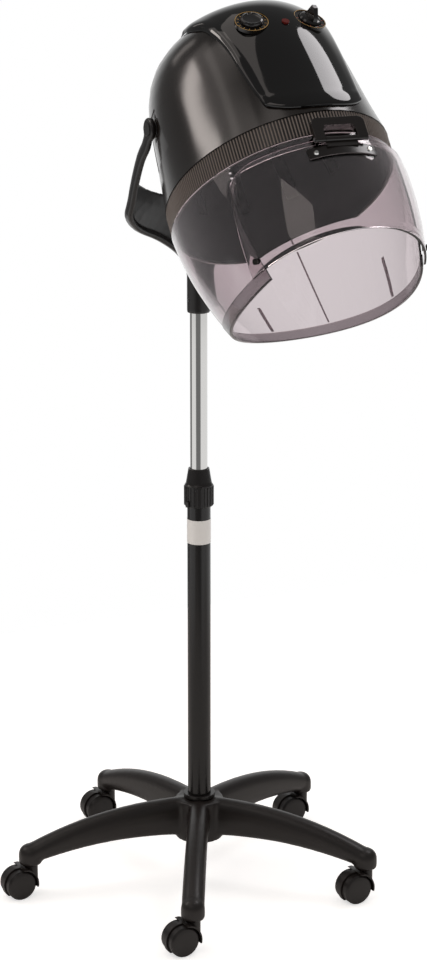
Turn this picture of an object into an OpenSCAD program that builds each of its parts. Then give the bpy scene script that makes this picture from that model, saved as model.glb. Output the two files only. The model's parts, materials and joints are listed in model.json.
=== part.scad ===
// Salon hood dryer on a five-leg rolling stand.
// Millimetres. Z up, the floor is Z = 0, the pole stands on the Z axis, and the hood faces -Y.

/* [Base] */
// Distance from the pole to each caster stem
leg_reach = 290; // [240:5:330]
// Number of legs
leg_count = 5; // [5]
// Turn of the star under the pole, degrees
leg_turn = -26.3; // [-36:0.1:36]
// Height of the hub's top above the floor
hub_top = 139; // [130:1:160]
// Depth of the hub
hub_depth = 69; // [60:1:75]
// Radius of the hub
hub_r = 40; // [36:1:46]
// Width of a leg where it leaves the hub
leg_w = 34; // [28:1:40]
// Radius of the rounded socket at a leg's end
socket_r = 19; // [16:0.5:21]

/* [Casters] */
// Diameter of the twin wheels
wheel_d = 50; // [45:1:56]
// Width of one wheel
wheel_w = 15; // [12:0.5:17]
// Gap between the two wheels
wheel_gap = 10; // [8:0.5:12]
// Distance from the stem's axis back to the axle
caster_trail = 23; // [20:0.5:28]
// Direction the casters trail in, degrees from +X
caster_turn = 185; // [0:1:360]
// Diameter of the caster stem
stem_d = 11; // [8:0.5:12]
// Diameter of the wheel axle
axle_d = 6; // [5:0.5:8]

/* [Column] */
// Diameter of the outer pole
pole_d = 38; // [34:0.5:42]
// Wall of the outer pole
pole_wall = 2; // [1.5:0.1:2.5]
// Height of the outer pole's top
pole_top = 645; // [600:5:680]
// Diameter of the sliding inner tube
tube_d = 28; // [25:0.5:29]
// Wall of the inner tube
tube_wall = 1.5; // [1:0.1:2]
// Height of the inner tube's lower end
tube_low = 400; // [380:5:430]
// Height of the bare band on the outer pole
band_h = 40; // [30:1:60]
// Diameter of the clamp knob
knob_d = 48; // [46:0.5:56]
// Number of grip ribs on the clamp knob
knob_ribs = 24; // [12:1:30]

/* [Yoke] */
// Height of the sleeve's lower end
yoke_low = 963; // [930:1:980]
// Length of the sleeve that holds the inner tube
sleeve_l = 70; // [60:1:80]
// Outer diameter of the sleeve
sleeve_d = 37; // [35:0.5:40]
// Inset of the fork's widest part from the hood's lower edge
fork_inset = 16.5; // [12:0.5:20]
// Width of the fork's edge flange
flange_w = 10; // [8:0.5:13]
// Depth of the fork's edge flange
flange_depth = 18; // [14:1:24]
// Height of the pivot above the floor
pivot_z = 1278; // [1270:1:1286]
// Distance of the pivot in front of the pole
pivot_fwd = 155; // [150:1:160]
// Diameter of the pivot bolts
pivot_d = 10; // [8:0.5:12]

/* [Hood] */
// Half width of the hood's lower edge
hood_half_w = 163.5; // [158:0.5:168]
// Half length of the hood's lower edge, front to back
hood_half_l = 197.5; // [190:0.5:200]
// Height of the dome above its lower edge
dome_h = 253; // [245:1:260]
// Squareness of the dome's side view
dome_square = 3.375; // [2.8:0.025:3.6]
// Set-back of the crown behind the middle
dome_lean = 28; // [20:1:32]
// Wall of the dome
dome_wall = 3; // [2.5:0.1:3.5]
// Tilt of the hood, degrees back from level
hood_tilt = 37.3; // [36:0.1:38]
// Height of the middle of the hood's lower edge
hood_z = 1210; // [1205:1:1215]
// Distance of that middle in front of the pole
hood_fwd = 278; // [275:1:281]

/* [Ribbed ring] */
// Height of the ribbed ring
ring_h = 36; // [30:0.5:40]
// Number of ribs round the ring
ring_ribs = 240; // [120:1:260]
// Depth of a rib
rib_depth = 1.4; // [1:0.1:2]
// Wall of the ring under its ribs
ring_wall = 5; // [4:0.1:6]

/* [Visor] */
// Depth of the visor's rim below the ring at the back
visor_back = 160; // [140:1:170]
// Depth of the visor's rim below the ring at the sides
visor_side = 186; // [172:1:190]
// Forward lean of the visor for each millimetre of depth
visor_lean = 0.2187; // [0.18:0.005:0.24]
// Taper of the visor at 250 mm depth, as a share
visor_taper = 0.345; // [0.3:0.005:0.4]
// Wall of the visor
visor_wall = 3; // [2.5:0.1:3.5]
// Height of the thicker band along the rim
visor_band = 19; // [12:1:24]
// Half width of the front window, degrees
window_half = 60; // [54:6:60]
// Gap between the visor and the lift-up flap
flap_gap = 3.5; // [3:0.1:4.5]
// Wall of the flap
flap_wall = 2.6; // [2:0.1:3]
// Depth of the moulded ribs inside the visor
visor_rib = 1.6; // [1:0.1:2.5]

/* [Controls] */
// Distance of each dial from the middle
dial_x = 45; // [40:1:50]
// Height of the dials above the hood's lower edge
dial_z = 174; // [165:1:190]
// Diameter of a dial's bezel
bezel_d = 49; // [44:0.5:52]
// Diameter of a dial's knob
dial_d = 33; // [28:0.5:34]
// Height of the heat dial's pointer
pointer_h = 24; // [15:1:30]
// How far the control panel stands out of the dome
panel_proud = 7; // [5:0.5:8]

/* [Air and heat] */
// Diameter of the motor
motor_d = 60; // [50:1:66]
// Diameter of the fan
fan_d = 110; // [90:1:116]
// Number of fan blades
fan_blades = 9; // [5:1:12]

/* [Hidden] */
$fn = 64;
run = 0.05;      // running clearance of a shaft, on the radius
seat = 0.3;      // gap between curved faces that lie together
eps = 0.01;
screw_r = 1.8;
cut_l = 60;       // length of a cutting cylinder that goes right through a wall

CASTER_PARTS = ["stem", "body", "axle", "wheels"];

// ---------- general shapes ----------

// A closed wall between an outer and an inner grid of points. Cells where open(i, j) is true are left out.
module grid_wall(outer, inner, wrap, capped = false, open = function (i, j) false) {
    cols = len(outer);
    rows = len(outer[0]);
    cells = wrap ? cols : cols - 1;
    id = function (side, i, j) side * cols * rows + (i % cols) * rows + j;
    there = function (i, j)
        (capped && j < 0) ? true
        : j < 0 || j >= rows - 1 ? false
        : !wrap && (i < 0 || i >= cells) ? false
        : !open((i + cells) % cells, j);
    edge = function (p, q) [
        [id(0, p[0], p[1]), id(0, q[0], q[1]), id(1, q[0], q[1])],
        [id(0, p[0], p[1]), id(1, q[0], q[1]), id(1, p[0], p[1])]];
    faces = [
        for (i = [0:cells - 1]) for (j = [0:rows - 2]) if (there(i, j))
            let (a = [i, j], b = [i + 1, j], c = [i + 1, j + 1], d = [i, j + 1])
            each concat(
                [[for (p = [c, b, a]) id(0, p[0], p[1])], [for (p = [d, c, a]) id(0, p[0], p[1])],
                 [for (p = [a, b, c]) id(1, p[0], p[1])], [for (p = [a, c, d]) id(1, p[0], p[1])]],
                there(i, j - 1) ? [] : edge(a, b),
                there(i + 1, j) ? [] : edge(b, c),
                there(i, j + 1) ? [] : edge(c, d),
                there(i - 1, j) ? [] : edge(d, a)),
        if (capped) [for (i = [0:cols - 1]) id(0, i, 0)],
        if (capped) [for (i = [cols - 1:-1:0]) id(1, i, 0)]];
    flat = [for (side = [outer, inner]) for (col = side) each col];
    polyhedron(flat, faces, convexity = 8);
}

// A solid through a row of closed sections, each a list of points.
module loft(sections) {
    n = len(sections[0]);
    m = len(sections);
    polyhedron(
        [for (s = sections) each s],
        [[for (i = [0:n - 1]) i], [for (i = [n - 1:-1:0]) (m - 1) * n + i],
         for (k = [0:m - 2]) for (i = [0:n - 1]) each [
            [k * n + i, (k + 1) * n + (i + 1) % n, k * n + (i + 1) % n],
            [k * n + i, (k + 1) * n + i, (k + 1) * n + (i + 1) % n]]],
        convexity = 6);
}

function power(x, e) = sign(x) * pow(abs(x), e);
function mix(a, b, t) = a + (b - a) * t;

module ring(r_out, r_in, z0, z1) {
    difference() {
        translate([0, 0, z0]) cylinder(r = r_out, h = z1 - z0);
        translate([0, 0, z0 - 1]) cylinder(r = r_in, h = z1 - z0 + 2);
    }
}

// ---------- base ----------

hub_low = hub_top - hub_depth;
pole_r = pole_d / 2;
socket_top = 84;
socket_low = 54;
LEG_STATIONS = 12;

function leg_angle(n) = -90 + leg_turn + n * 360 / leg_count;
// The leg's back and belly are two arcs that fall from the hub to the socket.
function leg_back(t) = mix(hub_top + 2, socket_top + 4, pow(t, 2.3));
function leg_belly(t) = hub_low + 4 + 8 * sin(180 * t) - 20 * pow(t, 2);
function leg_section(t) =
    let (r = mix(hub_r * 0.5, leg_reach, t), w = mix(leg_w, 2 * socket_r - 1, t) / 2, e = mix(0.65, 1, t),
         top = leg_back(t), low = leg_belly(t), mid = (top + low) / 2, h = (top - low) / 2)
    [for (a = [0:22.5:359]) [r, w * power(cos(a), e), mid + h * power(sin(a), e)]];

// The rounded end that turns down over the caster
module leg_end() {
    round_h = 17;
    top = socket_top + 4.5;
    translate([leg_reach, 0, 0]) rotate_extrude() polygon([
        [0, socket_low], [socket_r - 1.5, socket_low], [socket_r, socket_low + 1.5],
        for (a = [0:15:75]) [socket_r * cos(a), top - round_h + round_h * sin(a)], [0, top]]);
}

module star_base() {
    color("#2b2b2c")
    difference() {
        union() {
            translate([0, 0, hub_low]) cylinder(r = hub_r, h = hub_depth);
            for (n = [0:leg_count - 1]) rotate([0, 0, leg_angle(n)]) {
                loft([for (k = [0:LEG_STATIONS]) leg_section(k / LEG_STATIONS)]);
                leg_end();
            }
        }
        translate([0, 0, hub_low + 8]) cylinder(r = pole_r + run, h = hub_depth);
        translate([0, 0, hub_low - 1]) cylinder(r = 5.2, h = hub_depth);
        for (n = [0:leg_count - 1]) rotate([0, 0, leg_angle(n)])
            translate([leg_reach, 0, socket_low - 1]) cylinder(r = stem_d / 2 + run, h = stem_l + 2);
    }
}

module hub_collar() { color("#151515") ring(pole_r + 7, pole_r + run, hub_top + 2, hub_top + 8); }

module hub_bolt() {
    color("#8c8c8c") {
        translate([0, 0, hub_low - 5]) cylinder(r = 8, h = 5, $fn = 6);
        translate([0, 0, hub_low]) cylinder(r = 5, h = 18);
    }
}

// ---------- casters ----------

stem_l = 26;
wheel_r = wheel_d / 2;
axle_r = axle_d / 2;
body_w = wheel_gap - 1;
body_top = socket_low - 2;

module at_caster(n) {
    rotate([0, 0, leg_angle(n - 1)]) translate([leg_reach, 0, 0])
        rotate([0, 0, caster_turn - leg_angle(n - 1)]) children();
}

module caster_stem() {
    color("#a9a9a9") {
        translate([0, 0, body_top - 10]) cylinder(r = stem_d / 2, h = stem_l + 12);
        translate([0, 0, body_top]) cylinder(r = stem_d / 2 + 2.5, h = 1.5);
    }
}

// The moulded body: a thin web between the wheels, a stem boss and a fender over the wheels.
module caster_body() {
    fender_r = wheel_r + 3.5;
    color("#2b2b2c")
    difference() {
        union() {
            intersection() {
                translate([caster_trail, (wheel_w * 2 + wheel_gap) / 2 + 1, wheel_r]) rotate([90, 0, 0])
                    difference() {
                        cylinder(r = fender_r, h = wheel_w * 2 + wheel_gap + 2);
                        translate([0, 0, -1]) cylinder(r = wheel_r + 1.2, h = wheel_w * 2 + wheel_gap + 4);
                    }
                translate([-caster_trail, -40, wheel_r - 6]) cube([caster_trail * 2 - 2, 80, 60]);
            }
            translate([caster_trail, body_w / 2, wheel_r]) rotate([90, 0, 0])
                cylinder(r = fender_r - 1, h = body_w);
            translate([0, 0, wheel_r - 8]) cylinder(r = socket_r - 7, h = body_top - wheel_r + 8);
        }
        translate([0, 0, body_top - 10]) cylinder(r = stem_d / 2 + run, h = 20);
        translate([caster_trail, 20, wheel_r]) rotate([90, 0, 0]) cylinder(r = axle_r + run, h = 40);
        for (s = [-1, 1]) translate([caster_trail, s * (body_w / 2 + wheel_w / 2 + 1), wheel_r])
            rotate([90, 0, 0]) cylinder(r = wheel_r + 1.2, h = wheel_w + 1.9, center = true);
        translate([-60, -60, body_top]) cube([200, 120, 60]);
        translate([-60, -60, -60]) cube([200, 120, 60 + 6]);
    }
}

module caster_axle() {
    color("#a9a9a9") translate([caster_trail, 0, wheel_r]) rotate([90, 0, 0])
        cylinder(r = axle_r, h = wheel_gap + wheel_w, center = true);
}

module caster_wheels() {
    color("#1d1d1e")
    for (s = [-1, 1]) translate([caster_trail, s * wheel_gap / 2, wheel_r]) rotate([-90 * s, 0, 0])
        difference() {
            rotate_extrude() polygon([
                [0, 0], [wheel_r - 1, 0], [wheel_r, 1], [wheel_r, wheel_w - 4], [wheel_r - 3, wheel_w - 1],
                [wheel_r - 8, wheel_w], [0, wheel_w]]);
            translate([0, 0, -1]) cylinder(r = axle_r + run, h = wheel_w * 0.6 + 1);
        }
}

// ---------- column ----------

tube_r = tube_d / 2;
knob_low = pole_top;
knob_h = 62;
collar_top = pole_top + 23;
tube_top = yoke_low + sleeve_l - 8;

module outer_pole() {
    color("#1a1a1b") {
        ring(pole_r, pole_r - pole_wall, hub_low + 16, pole_top - 22);
        ring(pole_r, 5 + run, hub_low + 8, hub_low + 16);
    }
}

module pole_band() {
    color("#d9d9d6") ring(pole_r + 0.4, pole_r + run, pole_top - 22 - band_h, pole_top - 22);
}

module clamp_collar() {
    color("#1a1a1b") {
        ring(pole_r, pole_r - pole_wall, pole_top - 22, pole_top);
        ring(pole_r - 0.6, pole_r - pole_wall, pole_top - eps, collar_top);
    }
}

module clamp_collet() {
    color("#3a3a3c") difference() {
        ring(pole_r - pole_wall - run, tube_r + run, pole_top - 60, collar_top + 4);
        for (a = [0:90:359]) rotate([0, 0, a]) translate([0, -0.8, pole_top - 10]) cube([40, 1.6, 60]);
    }
}

module clamp_knob() {
    color("#1a1a1b") translate([0, 0, knob_low]) difference() {
        union() {
            rotate_extrude() polygon([
                [tube_r + 0.4, 0], [knob_d / 2 - 2, 0], [knob_d / 2 - 1, 1], [knob_d / 2 - 1, 35],
                [knob_d / 2 - 3, 38], [tube_r + 4, knob_h - 6], [tube_r + 3, knob_h],
                [tube_r + 0.4, knob_h]]);
            for (k = [0:knob_ribs - 1]) rotate([0, 0, k * 360 / knob_ribs])
                translate([knob_d / 2 - 1, 0, 2]) cylinder(r = 1.3, h = 31, $fn = 16);
            rotate([0, 0, 200]) translate([knob_d / 2 - 2, -3, 1]) cube([5, 6, 9]);
        }
        translate([0, 0, -1]) cylinder(r = pole_r - 0.6 + run, h = collar_top - knob_low + 5.3);
    }
}

module inner_tube() { color("#d8d8da") ring(tube_r, tube_r - tube_wall, tube_low, tube_top); }

module tube_guide() {
    color("#3a3a3c") {
        ring(pole_r - pole_wall - run, tube_r, tube_low, tube_low + 20);
        ring(pole_r - pole_wall - run, tube_r - tube_wall, tube_low - 6, tube_low);
    }
}

// ---------- yoke ----------

// The pivot in the hood's own frame
pv = [pivot_fwd - hood_fwd, pivot_z - hood_z];
pivot_y = -(pv[0] * cos(hood_tilt) + pv[1] * sin(hood_tilt));
pivot_h = -pv[0] * sin(hood_tilt) + pv[1] * cos(hood_tilt);

// The fork's pads turn on the hood's bosses, which stand in round pockets in its sides.
pad_r = 17;
pad_t = 7;
pocket_r = 24;
boss_r = 13;
boss_sunk = 3.2;
cap_r = 10.5;
cap_sunk = 2.2;
washer_t = 1;
pad_floor = dome_side(pivot_y, pivot_h) - 0.45;
pad_in = pad_floor + 2.9;
pad_out = pad_in + pad_t;

// Children stand on the pivot's axis, with Z out to the side and 0 at the middle of the hood.
module on_pivot(side) { translate([0, -pivot_fwd, pivot_z]) rotate([0, 90 * side, 0]) children(); }

fork_half_w = hood_half_w - fork_inset;
fork_top_x = pad_out - flange_w / 2;
fork_h = pivot_z - yoke_low;
// One edge of the fork, from the sleeve out to the shoulder and up to the pivot, as shares of the
// fork's half width, of the pivot's distance forward and of the fork's height.
FORK_SHARES = [
    [0.07, 0, 0.025], [0.08, 0, 0.15], [0.12, 0, 0.24], [0.25, 0.013, 0.322],
    [0.5, 0.077, 0.4], [0.8, 0.219, 0.466], [0.97, 0.387, 0.54], [1, 0.516, 0.62],
    [1.017, 0.658, 0.735], [1.02, 0.806, 0.851]];
FORK = concat(
    [for (p = FORK_SHARES) [p[0] * fork_half_w, p[1] * pivot_fwd, yoke_low + p[2] * fork_h]],
    [[fork_top_x + 1.5, pivot_fwd - 10, pivot_z - 24], [fork_top_x, pivot_fwd, pivot_z]]);

function cat(a, b, c, d, t) =
    0.5 * ((2 * b) + (c - a) * t + (2 * a - 5 * b + 4 * c - d) * t * t + (3 * b - 3 * c + d - a) * t * t * t);
// A smooth curve through the points, with some steps between each pair.
function smooth(p, steps) =
    let (n = len(p))
    [for (i = [0:n - 2]) for (k = [0:steps - 1])
        cat(p[max(i - 1, 0)], p[i], p[i + 1], p[min(i + 2, n - 1)], k / steps), p[n - 1]];
function unit(v) = v / norm(v);

module fork_arm(side) {
    path = smooth(FORK, 3);
    n = len(path);
    loft([for (k = [0:n - 1])
        let (p = path[k], q0 = path[max(k - 1, 0)], q1 = path[min(k + 1, n - 1)],
             dir = unit(q1 - q0), across = unit(cross(dir, [0, 1, 0])), deep = cross(across, dir),
             w = flange_w / 2, d = mix(flange_depth, 2 * pad_r - 10, max(0, k / (n - 1) - 0.7) / 0.3) / 2)
        [for (a = side > 0 ? [0:30:359] : [330:-30:0])
            let (q = p + across * w * power(cos(a), 0.6) + deep * d * power(sin(a), 0.6))
            [side * q[0], -q[1], q[2]]]]);
}

// The web behind the hood, hung between the two arms.
web_rows = 10;
web_low = 2;
web_high = 24;
web_sag = 46;
function web_edge(t) = let (p = smooth(FORK, 3)) p[round(mix(web_low, web_high, t))];
function web_point(s, t, off) =
    let (e = web_edge(t), sag = web_sag * t * (1 - pow(s, 2)))
    [s * e[0], -(e[1] * pow(abs(s), 2.2) - off), e[2] - sag];

module fork_web() {
    cols = [for (s = [1:-0.125:-1]) s];
    outer = [for (s = cols) [for (j = [0:web_rows]) web_point(s, 1 - j / web_rows, -2.5)]];
    inner = [for (s = cols) [for (j = [0:web_rows]) web_point(s, 1 - j / web_rows, 2.5)]];
    grid_wall(outer, inner, false);
}

module yoke() {
    color("#1e1e1f") difference() {
        union() {
            translate([0, 0, yoke_low]) cylinder(r = sleeve_d / 2, h = sleeve_l + 16);
            for (s = [-1, 1]) {
                fork_arm(s);
                on_pivot(s) translate([0, 0, pad_in]) cylinder(r = pad_r, h = pad_t);
            }
            fork_web();
        }
        translate([0, 0, yoke_low - 1]) cylinder(r = tube_r + run, h = tube_top - yoke_low + 1);
        for (s = [-1, 1]) on_pivot(s) {
            cylinder(r = pivot_d / 2 + run, h = pad_out + 5);
            translate([0, 0, pad_in - 30]) cylinder(r = pad_r * 2, h = 30);
            translate([0, 0, pad_out - cap_sunk]) cylinder(r = cap_r + run, h = cap_sunk + 10);
        }
        for (s = [-1, 1]) rotate([0, 0, 90 + 90 * s]) translate([10, 0, yoke_low + 20]) rotate([0, 90, 0])
            cylinder(r = screw_r + 1, h = 20);
    }
}

module yoke_screws() {
    color("#8c8c8c") for (s = [-1, 1]) rotate([0, 0, 90 + 90 * s]) translate([tube_r + run, 0, yoke_low + 20])
        rotate([0, 90, 0]) cylinder(r = screw_r + 0.9, h = 5);
}

module pivot_washers() {
    color("#d8d8da") for (s = [-1, 1]) on_pivot(s)
        ring(pad_r - 1, pivot_d / 2 + run, pad_in - washer_t, pad_in);
}

module pivot_caps() {
    color("#1e1e1f") for (s = [-1, 1]) on_pivot(s) translate([0, 0, pad_out - cap_sunk])
        cylinder(r1 = cap_r, r2 = cap_r - 0.8, h = cap_sunk + 0.8);
}

// ---------- hood ----------

module hood_place() { translate([0, -hood_fwd, hood_z]) rotate([-hood_tilt, 0, 0]) children(); }

HOOD_COLS = 48;
col_step = 360 / HOOD_COLS;
// The dome's rows from the crown down. What lies on the dome uses the same rows and columns.
DOME_B = [88, 78, 71, 64.3, 59, 51, 43, 35, 28, 21, 14.5, 9.2, 5.5, 2.6, 1.23, 0.17, 0];

// A point of the dome: phi from the front towards +X, b from 0 at the lower edge to 90 at the crown.
function dome_point(phi, b, off) =
    let (u = pow(sin(b), 2 / dome_square), s = dome_share(b))
    [(hood_half_w + off) * s * sin(phi),
     -(hood_half_l + off) * s * cos(phi) + dome_lean * u, (dome_h + off) * u];
// The dome's width at b as a share of the width of its lower edge
function dome_share(b) =
    let (e = 2 / dome_square, u = pow(sin(b), e)) pow(cos(b), e) * (1 - 0.28 * u * (1 - u));
function dome_b(z) = asin(pow(z / dome_h, dome_square / 2));
// The dome's half width at a place given by its y and its height
function dome_side(y, z) =
    let (s = dome_share(dome_b(z)), c = (y - dome_lean * z / dome_h) / (hood_half_l * s))
    hood_half_w * s * sqrt(1 - c * c);
// A block or a skin on the dome between two offsets
module dome_patch(phis, rows, off_out, off_in) {
    grid_wall(
        [for (phi = phis) [for (b = rows) dome_point(phi, b, off_out)]],
        [for (phi = phis) [for (b = rows) dome_point(phi, b, off_in)]], false);
}

module dial_place(side) {
    p = dome_point(side * dial_phi, dome_b(dial_z), 0);
    translate(p) rotate([0, 0, side * 9]) rotate([90 - dial_tip, 0, 0])
        translate([0, 0, panel_proud]) children();
}
dial_phi = asin(dial_x / (hood_half_w * dome_share(dome_b(dial_z))));
dial_tip = 25;

module outer_shell() {
    color("#121213") hood_place() difference() {
        union() {
            grid_wall(
                [for (i = [0:HOOD_COLS - 1]) [for (b = DOME_B) dome_point(-i * col_step, b, 0)]],
                [for (i = [0:HOOD_COLS - 1]) [for (b = DOME_B) dome_point(-i * col_step, b, -dome_wall)]],
                true, true);
            for (s = [-1, 1]) intersection() {
                dome_patch([for (k = [-2:2]) s * 105 - k * col_step], [for (j = [8:11]) DOME_B[j]], 0, -14);
                boss_place(s) translate([0, 0, pad_floor - 2 * boss_sunk])
                    cylinder(r = pocket_r + 2, h = cut_l);
            }
        }
        for (s = [-1, 1]) {
            dial_place(s) translate([0, 0, -40]) cylinder(r = 6.2, h = cut_l);
            boss_place(s) {
                translate([0, 0, pad_floor - 40]) cylinder(r = pivot_d / 2 + run, h = 80);
                translate([0, 0, pad_floor - boss_sunk]) cylinder(r = boss_r + run, h = cut_l);
                translate([0, 0, pad_floor]) cylinder(r = pocket_r, h = cut_l);
            }
            fork_recess(s);
        }
        lamp_place() translate([0, 0, -30]) cylinder(r = 4.2, h = cut_l);
        gland_place() cylinder(r = gland_r + run, h = cut_l, center = true);
        rear_grille_cuts();
    }
}

module boss_place(side) { translate([0, pivot_y, pivot_h]) rotate([0, 90 * side, 0]) children(); }

// The shallow recess beside the pivot, with a slanted front edge
module fork_recess(side) {
    n = 5;
    at = function (k, t, off)
        dome_point(side * mix(mix(87.8, 95.8, t), 122, k / n), dome_b(pivot_h + mix(-62, 21, t)), off);
    cols = side > 0 ? [n:-1:0] : [0:n];
    grid_wall(
        [for (k = cols) [for (j = [n:-1:0]) at(k, j / n, dome_wall)]],
        [for (k = cols) [for (j = [n:-1:0]) at(k, j / n, -dome_wall / 2)]], false);
}

module lamp_place() {
    p = dome_point(0, dome_b(dial_z - 9), 0);
    translate(p) rotate([90 - dial_tip, 0, 0]) translate([0, 0, panel_proud]) children();
}

// The panel's half width in degrees at each of the dome's rows, from the crown down: it flares at its top.
PANEL_HALF = [70, 67, 62, 54, 46, 41.5, 38.3, 35.8, 34.2, 32.5, 31, 29.8, 29.2];
PANEL_SHARES = [-1, -0.965, -0.89, for (k = [-5:5]) k / 6.6, 0.89, 0.965, 1];
PANEL_ROWS = [DOME_B[3], DOME_B[3] - 1.5, for (r = [4:14]) DOME_B[r]];
panel_low = 8;
panel_rise = 19;
panel_bevel = 4;

// The panel's lower edge rises towards its corners, and its lowest rows follow it.
function panel_point(i, j, off) =
    let (last = len(PANEL_HALF) - 1, share = PANEL_SHARES[i], k = j - last,
         edge_z = panel_low + panel_rise * pow(abs(share), 3), low = 1.5 * panel_bevel, fit_z = dome_h / 4,
         z = j <= last ? dome_h * pow(sin(PANEL_ROWS[j]), 2 / dome_square)
             : edge_z + (k == 1 ? panel_bevel : 0),
         fitted = j <= last && z < fit_z
             ? mix(edge_z + low, fit_z, (z - panel_low - low) / (fit_z - panel_low - low)) : z,
         half = j <= last ? PANEL_HALF[j] : PANEL_HALF[last] - k * 0.8)
    dome_point(share * half, dome_b(fitted), off);

module control_panel() {
    last_i = len(PANEL_SHARES) - 1;
    last_j = len(PANEL_HALF) + 1;
    proud = function (i, j)
        let (k = min(i, last_i - i, j, last_j - j)) k == 0 ? 1.5 : k == 1 ? panel_proud - 2 : panel_proud;
    color("#0d0d0e") hood_place() difference() {
        grid_wall(
            [for (i = [last_i:-1:0]) [for (j = [0:last_j]) panel_point(i, j, proud(i, j))]],
            [for (i = [last_i:-1:0]) [for (j = [0:last_j]) panel_point(i, j, 2 * seat)]],
            false);
        for (s = [-1, 1]) dial_place(s) {
            translate([0, 0, -3]) cylinder(r = bezel_d / 2 + 0.1, h = 20);
            translate([0, 0, -40]) cylinder(r = 6.2, h = cut_l);
        }
        lamp_place() {
            translate([0, 0, -30]) cylinder(r = 4.2, h = cut_l);
            translate([0, 0, -1]) cylinder(r = 5.7, h = 20);
        }
    }
}

function oval(off, n) =
    [for (a = [0:360 / n:359.9]) [(hood_half_w + off) * sin(a), -(hood_half_l + off) * cos(a)]];

module ribbed_ring() {
    n = 4 * ring_ribs;
    color("#161617") hood_place() translate([0, 0, -ring_h]) linear_extrude(height = ring_h) difference() {
        polygon([for (i = [0:n - 1]) let (off = (i % 4 < 2 ? 0 : -rib_depth) - 0.5)
            [(hood_half_w + off) * sin(i * 360 / n), -(hood_half_l + off) * cos(i * 360 / n)]]);
        polygon(oval(-rib_depth - ring_wall, 96));
    }
}

// Profile of the bowl: [inset from the hood's edge, height]
bowl_h = dome_h - 105;
BOWL = [
    [110, bowl_h], [92, bowl_h], [62, bowl_h - 10], [38, bowl_h * 0.77], [26, bowl_h * 0.54],
    [20, bowl_h * 0.27], [15, 12], [6.6, -4], [6.6, 2 - ring_h]];
bowl_wall = 2;
function bowl_point(i, j, off) =
    let (a = -i * 360 / 48, r = -BOWL[j][0] + off, z = BOWL[j][1])
    [(hood_half_w + r) * sin(a), -(hood_half_l + r) * cos(a) + dome_lean * max(z, 0) / dome_h,
     z + (j < 3 ? off : 0)];

module inner_bowl() {
    color("#2a2a2c") hood_place() grid_wall(
        [for (i = [0:47]) [for (j = [0:len(BOWL) - 1]) bowl_point(i, j, 0)]],
        [for (i = [0:47]) [for (j = [0:len(BOWL) - 1]) bowl_point(i, j, -bowl_wall)]],
        true, false, function (i, j) i % 4 == 1 && j > 1 && j < 5);
}

bowl_y = dome_lean * BOWL[0][1] / dome_h;
grille_t = 2;
grille_inset = (BOWL[0][0] + BOWL[1][0]) / 2 - 3;
grille_a = hood_half_w - grille_inset;
grille_b = hood_half_l - grille_inset;
GRILLE_ROWS = 6;
mica_h = 8;
mica_w = hood_half_w * 0.306;
mica_l = hood_half_l * 0.253;
coil_r = 1.5;
COIL_RADII = [mica_w * 0.48, mica_w * 0.72];

module bowl_grille() {
    color("#8c8c8c") hood_place() translate([0, bowl_y, BOWL[0][1]]) linear_extrude(height = grille_t)
        difference() {
            polygon(oval(-grille_inset, 48));
            for (k = [-GRILLE_ROWS:GRILLE_ROWS]) for (a = [-1, 1])
                let (pitch = grille_b / (GRILLE_ROWS + 1.1), y = k * pitch, h = pitch * 0.64,
                     l = grille_a * sqrt(1 - pow((abs(y) + h / 2) / grille_b, 2)) - 9)
                translate([a * (3 + l / 2), y]) square([l, h], center = true);
        }
}

vent_z = dome_h * 0.38;
vent_pitch = dome_h * 0.0356;
vent_half = hood_half_w * sin(3 * col_step) * 0.55;
VENT_ROWS = 7;
module rear_grille_cuts() {
    for (k = [0:VENT_ROWS - 1]) translate([-vent_half, 0, vent_z + k * vent_pitch])
        cube([2 * vent_half, hood_half_l + 20, 4]);
}

module rear_grille() {
    color("#161617") hood_place() difference() {
        dome_patch([for (i = [-3:3]) 180 - i * col_step], [for (j = [8:11]) DOME_B[j]],
            -dome_wall - 0.2, -dome_wall - 2.2);
        for (k = [-3:3]) translate([k * vent_half / 4 - 2.5, 0, vent_z - 2])
            cube([5, hood_half_l + 20, VENT_ROWS * vent_pitch + 1]);
    }
}

motor_z = dome_h - 61;
module motor_place() { hood_place() translate([0, dome_lean, 0]) children(); }

module motor_bracket() {
    color("#a9a9a9") motor_place() {
        translate([0, 0, motor_z + 44]) cylinder(r = 14, h = dome_h - dome_wall - motor_z - 44 - seat);
        translate([0, 0, motor_z + 41]) cylinder(r = motor_d / 2, h = 3);
    }
}

module motor() {
    color("#6d7074") motor_place() difference() {
        union() {
            translate([0, 0, motor_z + 1]) cylinder(r = motor_d / 2, h = 40);
            translate([0, 0, motor_z - 3]) cylinder(r = 9, h = 4);
        }
        translate([0, 0, motor_z - 4]) cylinder(r = 4 + run, h = 30);
    }
}

module fan() {
    color("#d9d9d6") motor_place() {
        translate([0, 0, motor_z - 28]) cylinder(r = 4, h = 50);
        translate([0, 0, motor_z - 28]) cylinder(r = 14, h = 22);
        translate([0, 0, motor_z - 8]) cylinder(r = fan_d / 2, h = 2);
        for (k = [0:fan_blades - 1]) rotate([0, 0, k * 360 / fan_blades])
            translate([13, -1, motor_z - 28]) rotate([0, 0, 12]) cube([fan_d / 2 - 15, 2, 20.5]);
    }
}

module heater_frame() {
    color("#c9b48c") hood_place() translate([0, bowl_y, BOWL[0][1] + grille_t]) difference() {
        union() {
            translate([-mica_w, -1, 0]) cube([2 * mica_w, 2, mica_h]);
            translate([-1, -mica_l, 0]) cube([2, 2 * mica_l, mica_h]);
        }
        for (r = COIL_RADII) translate([0, 0, mica_h / 2])
            rotate_extrude() translate([r, 0]) circle(r = coil_r + run);
    }
}

module heater_coils() {
    color("#8a5a3c") hood_place() translate([0, bowl_y, BOWL[0][1] + grille_t + mica_h / 2])
        for (r = COIL_RADII) rotate_extrude() translate([r, 0]) circle(r = coil_r);
}

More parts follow.
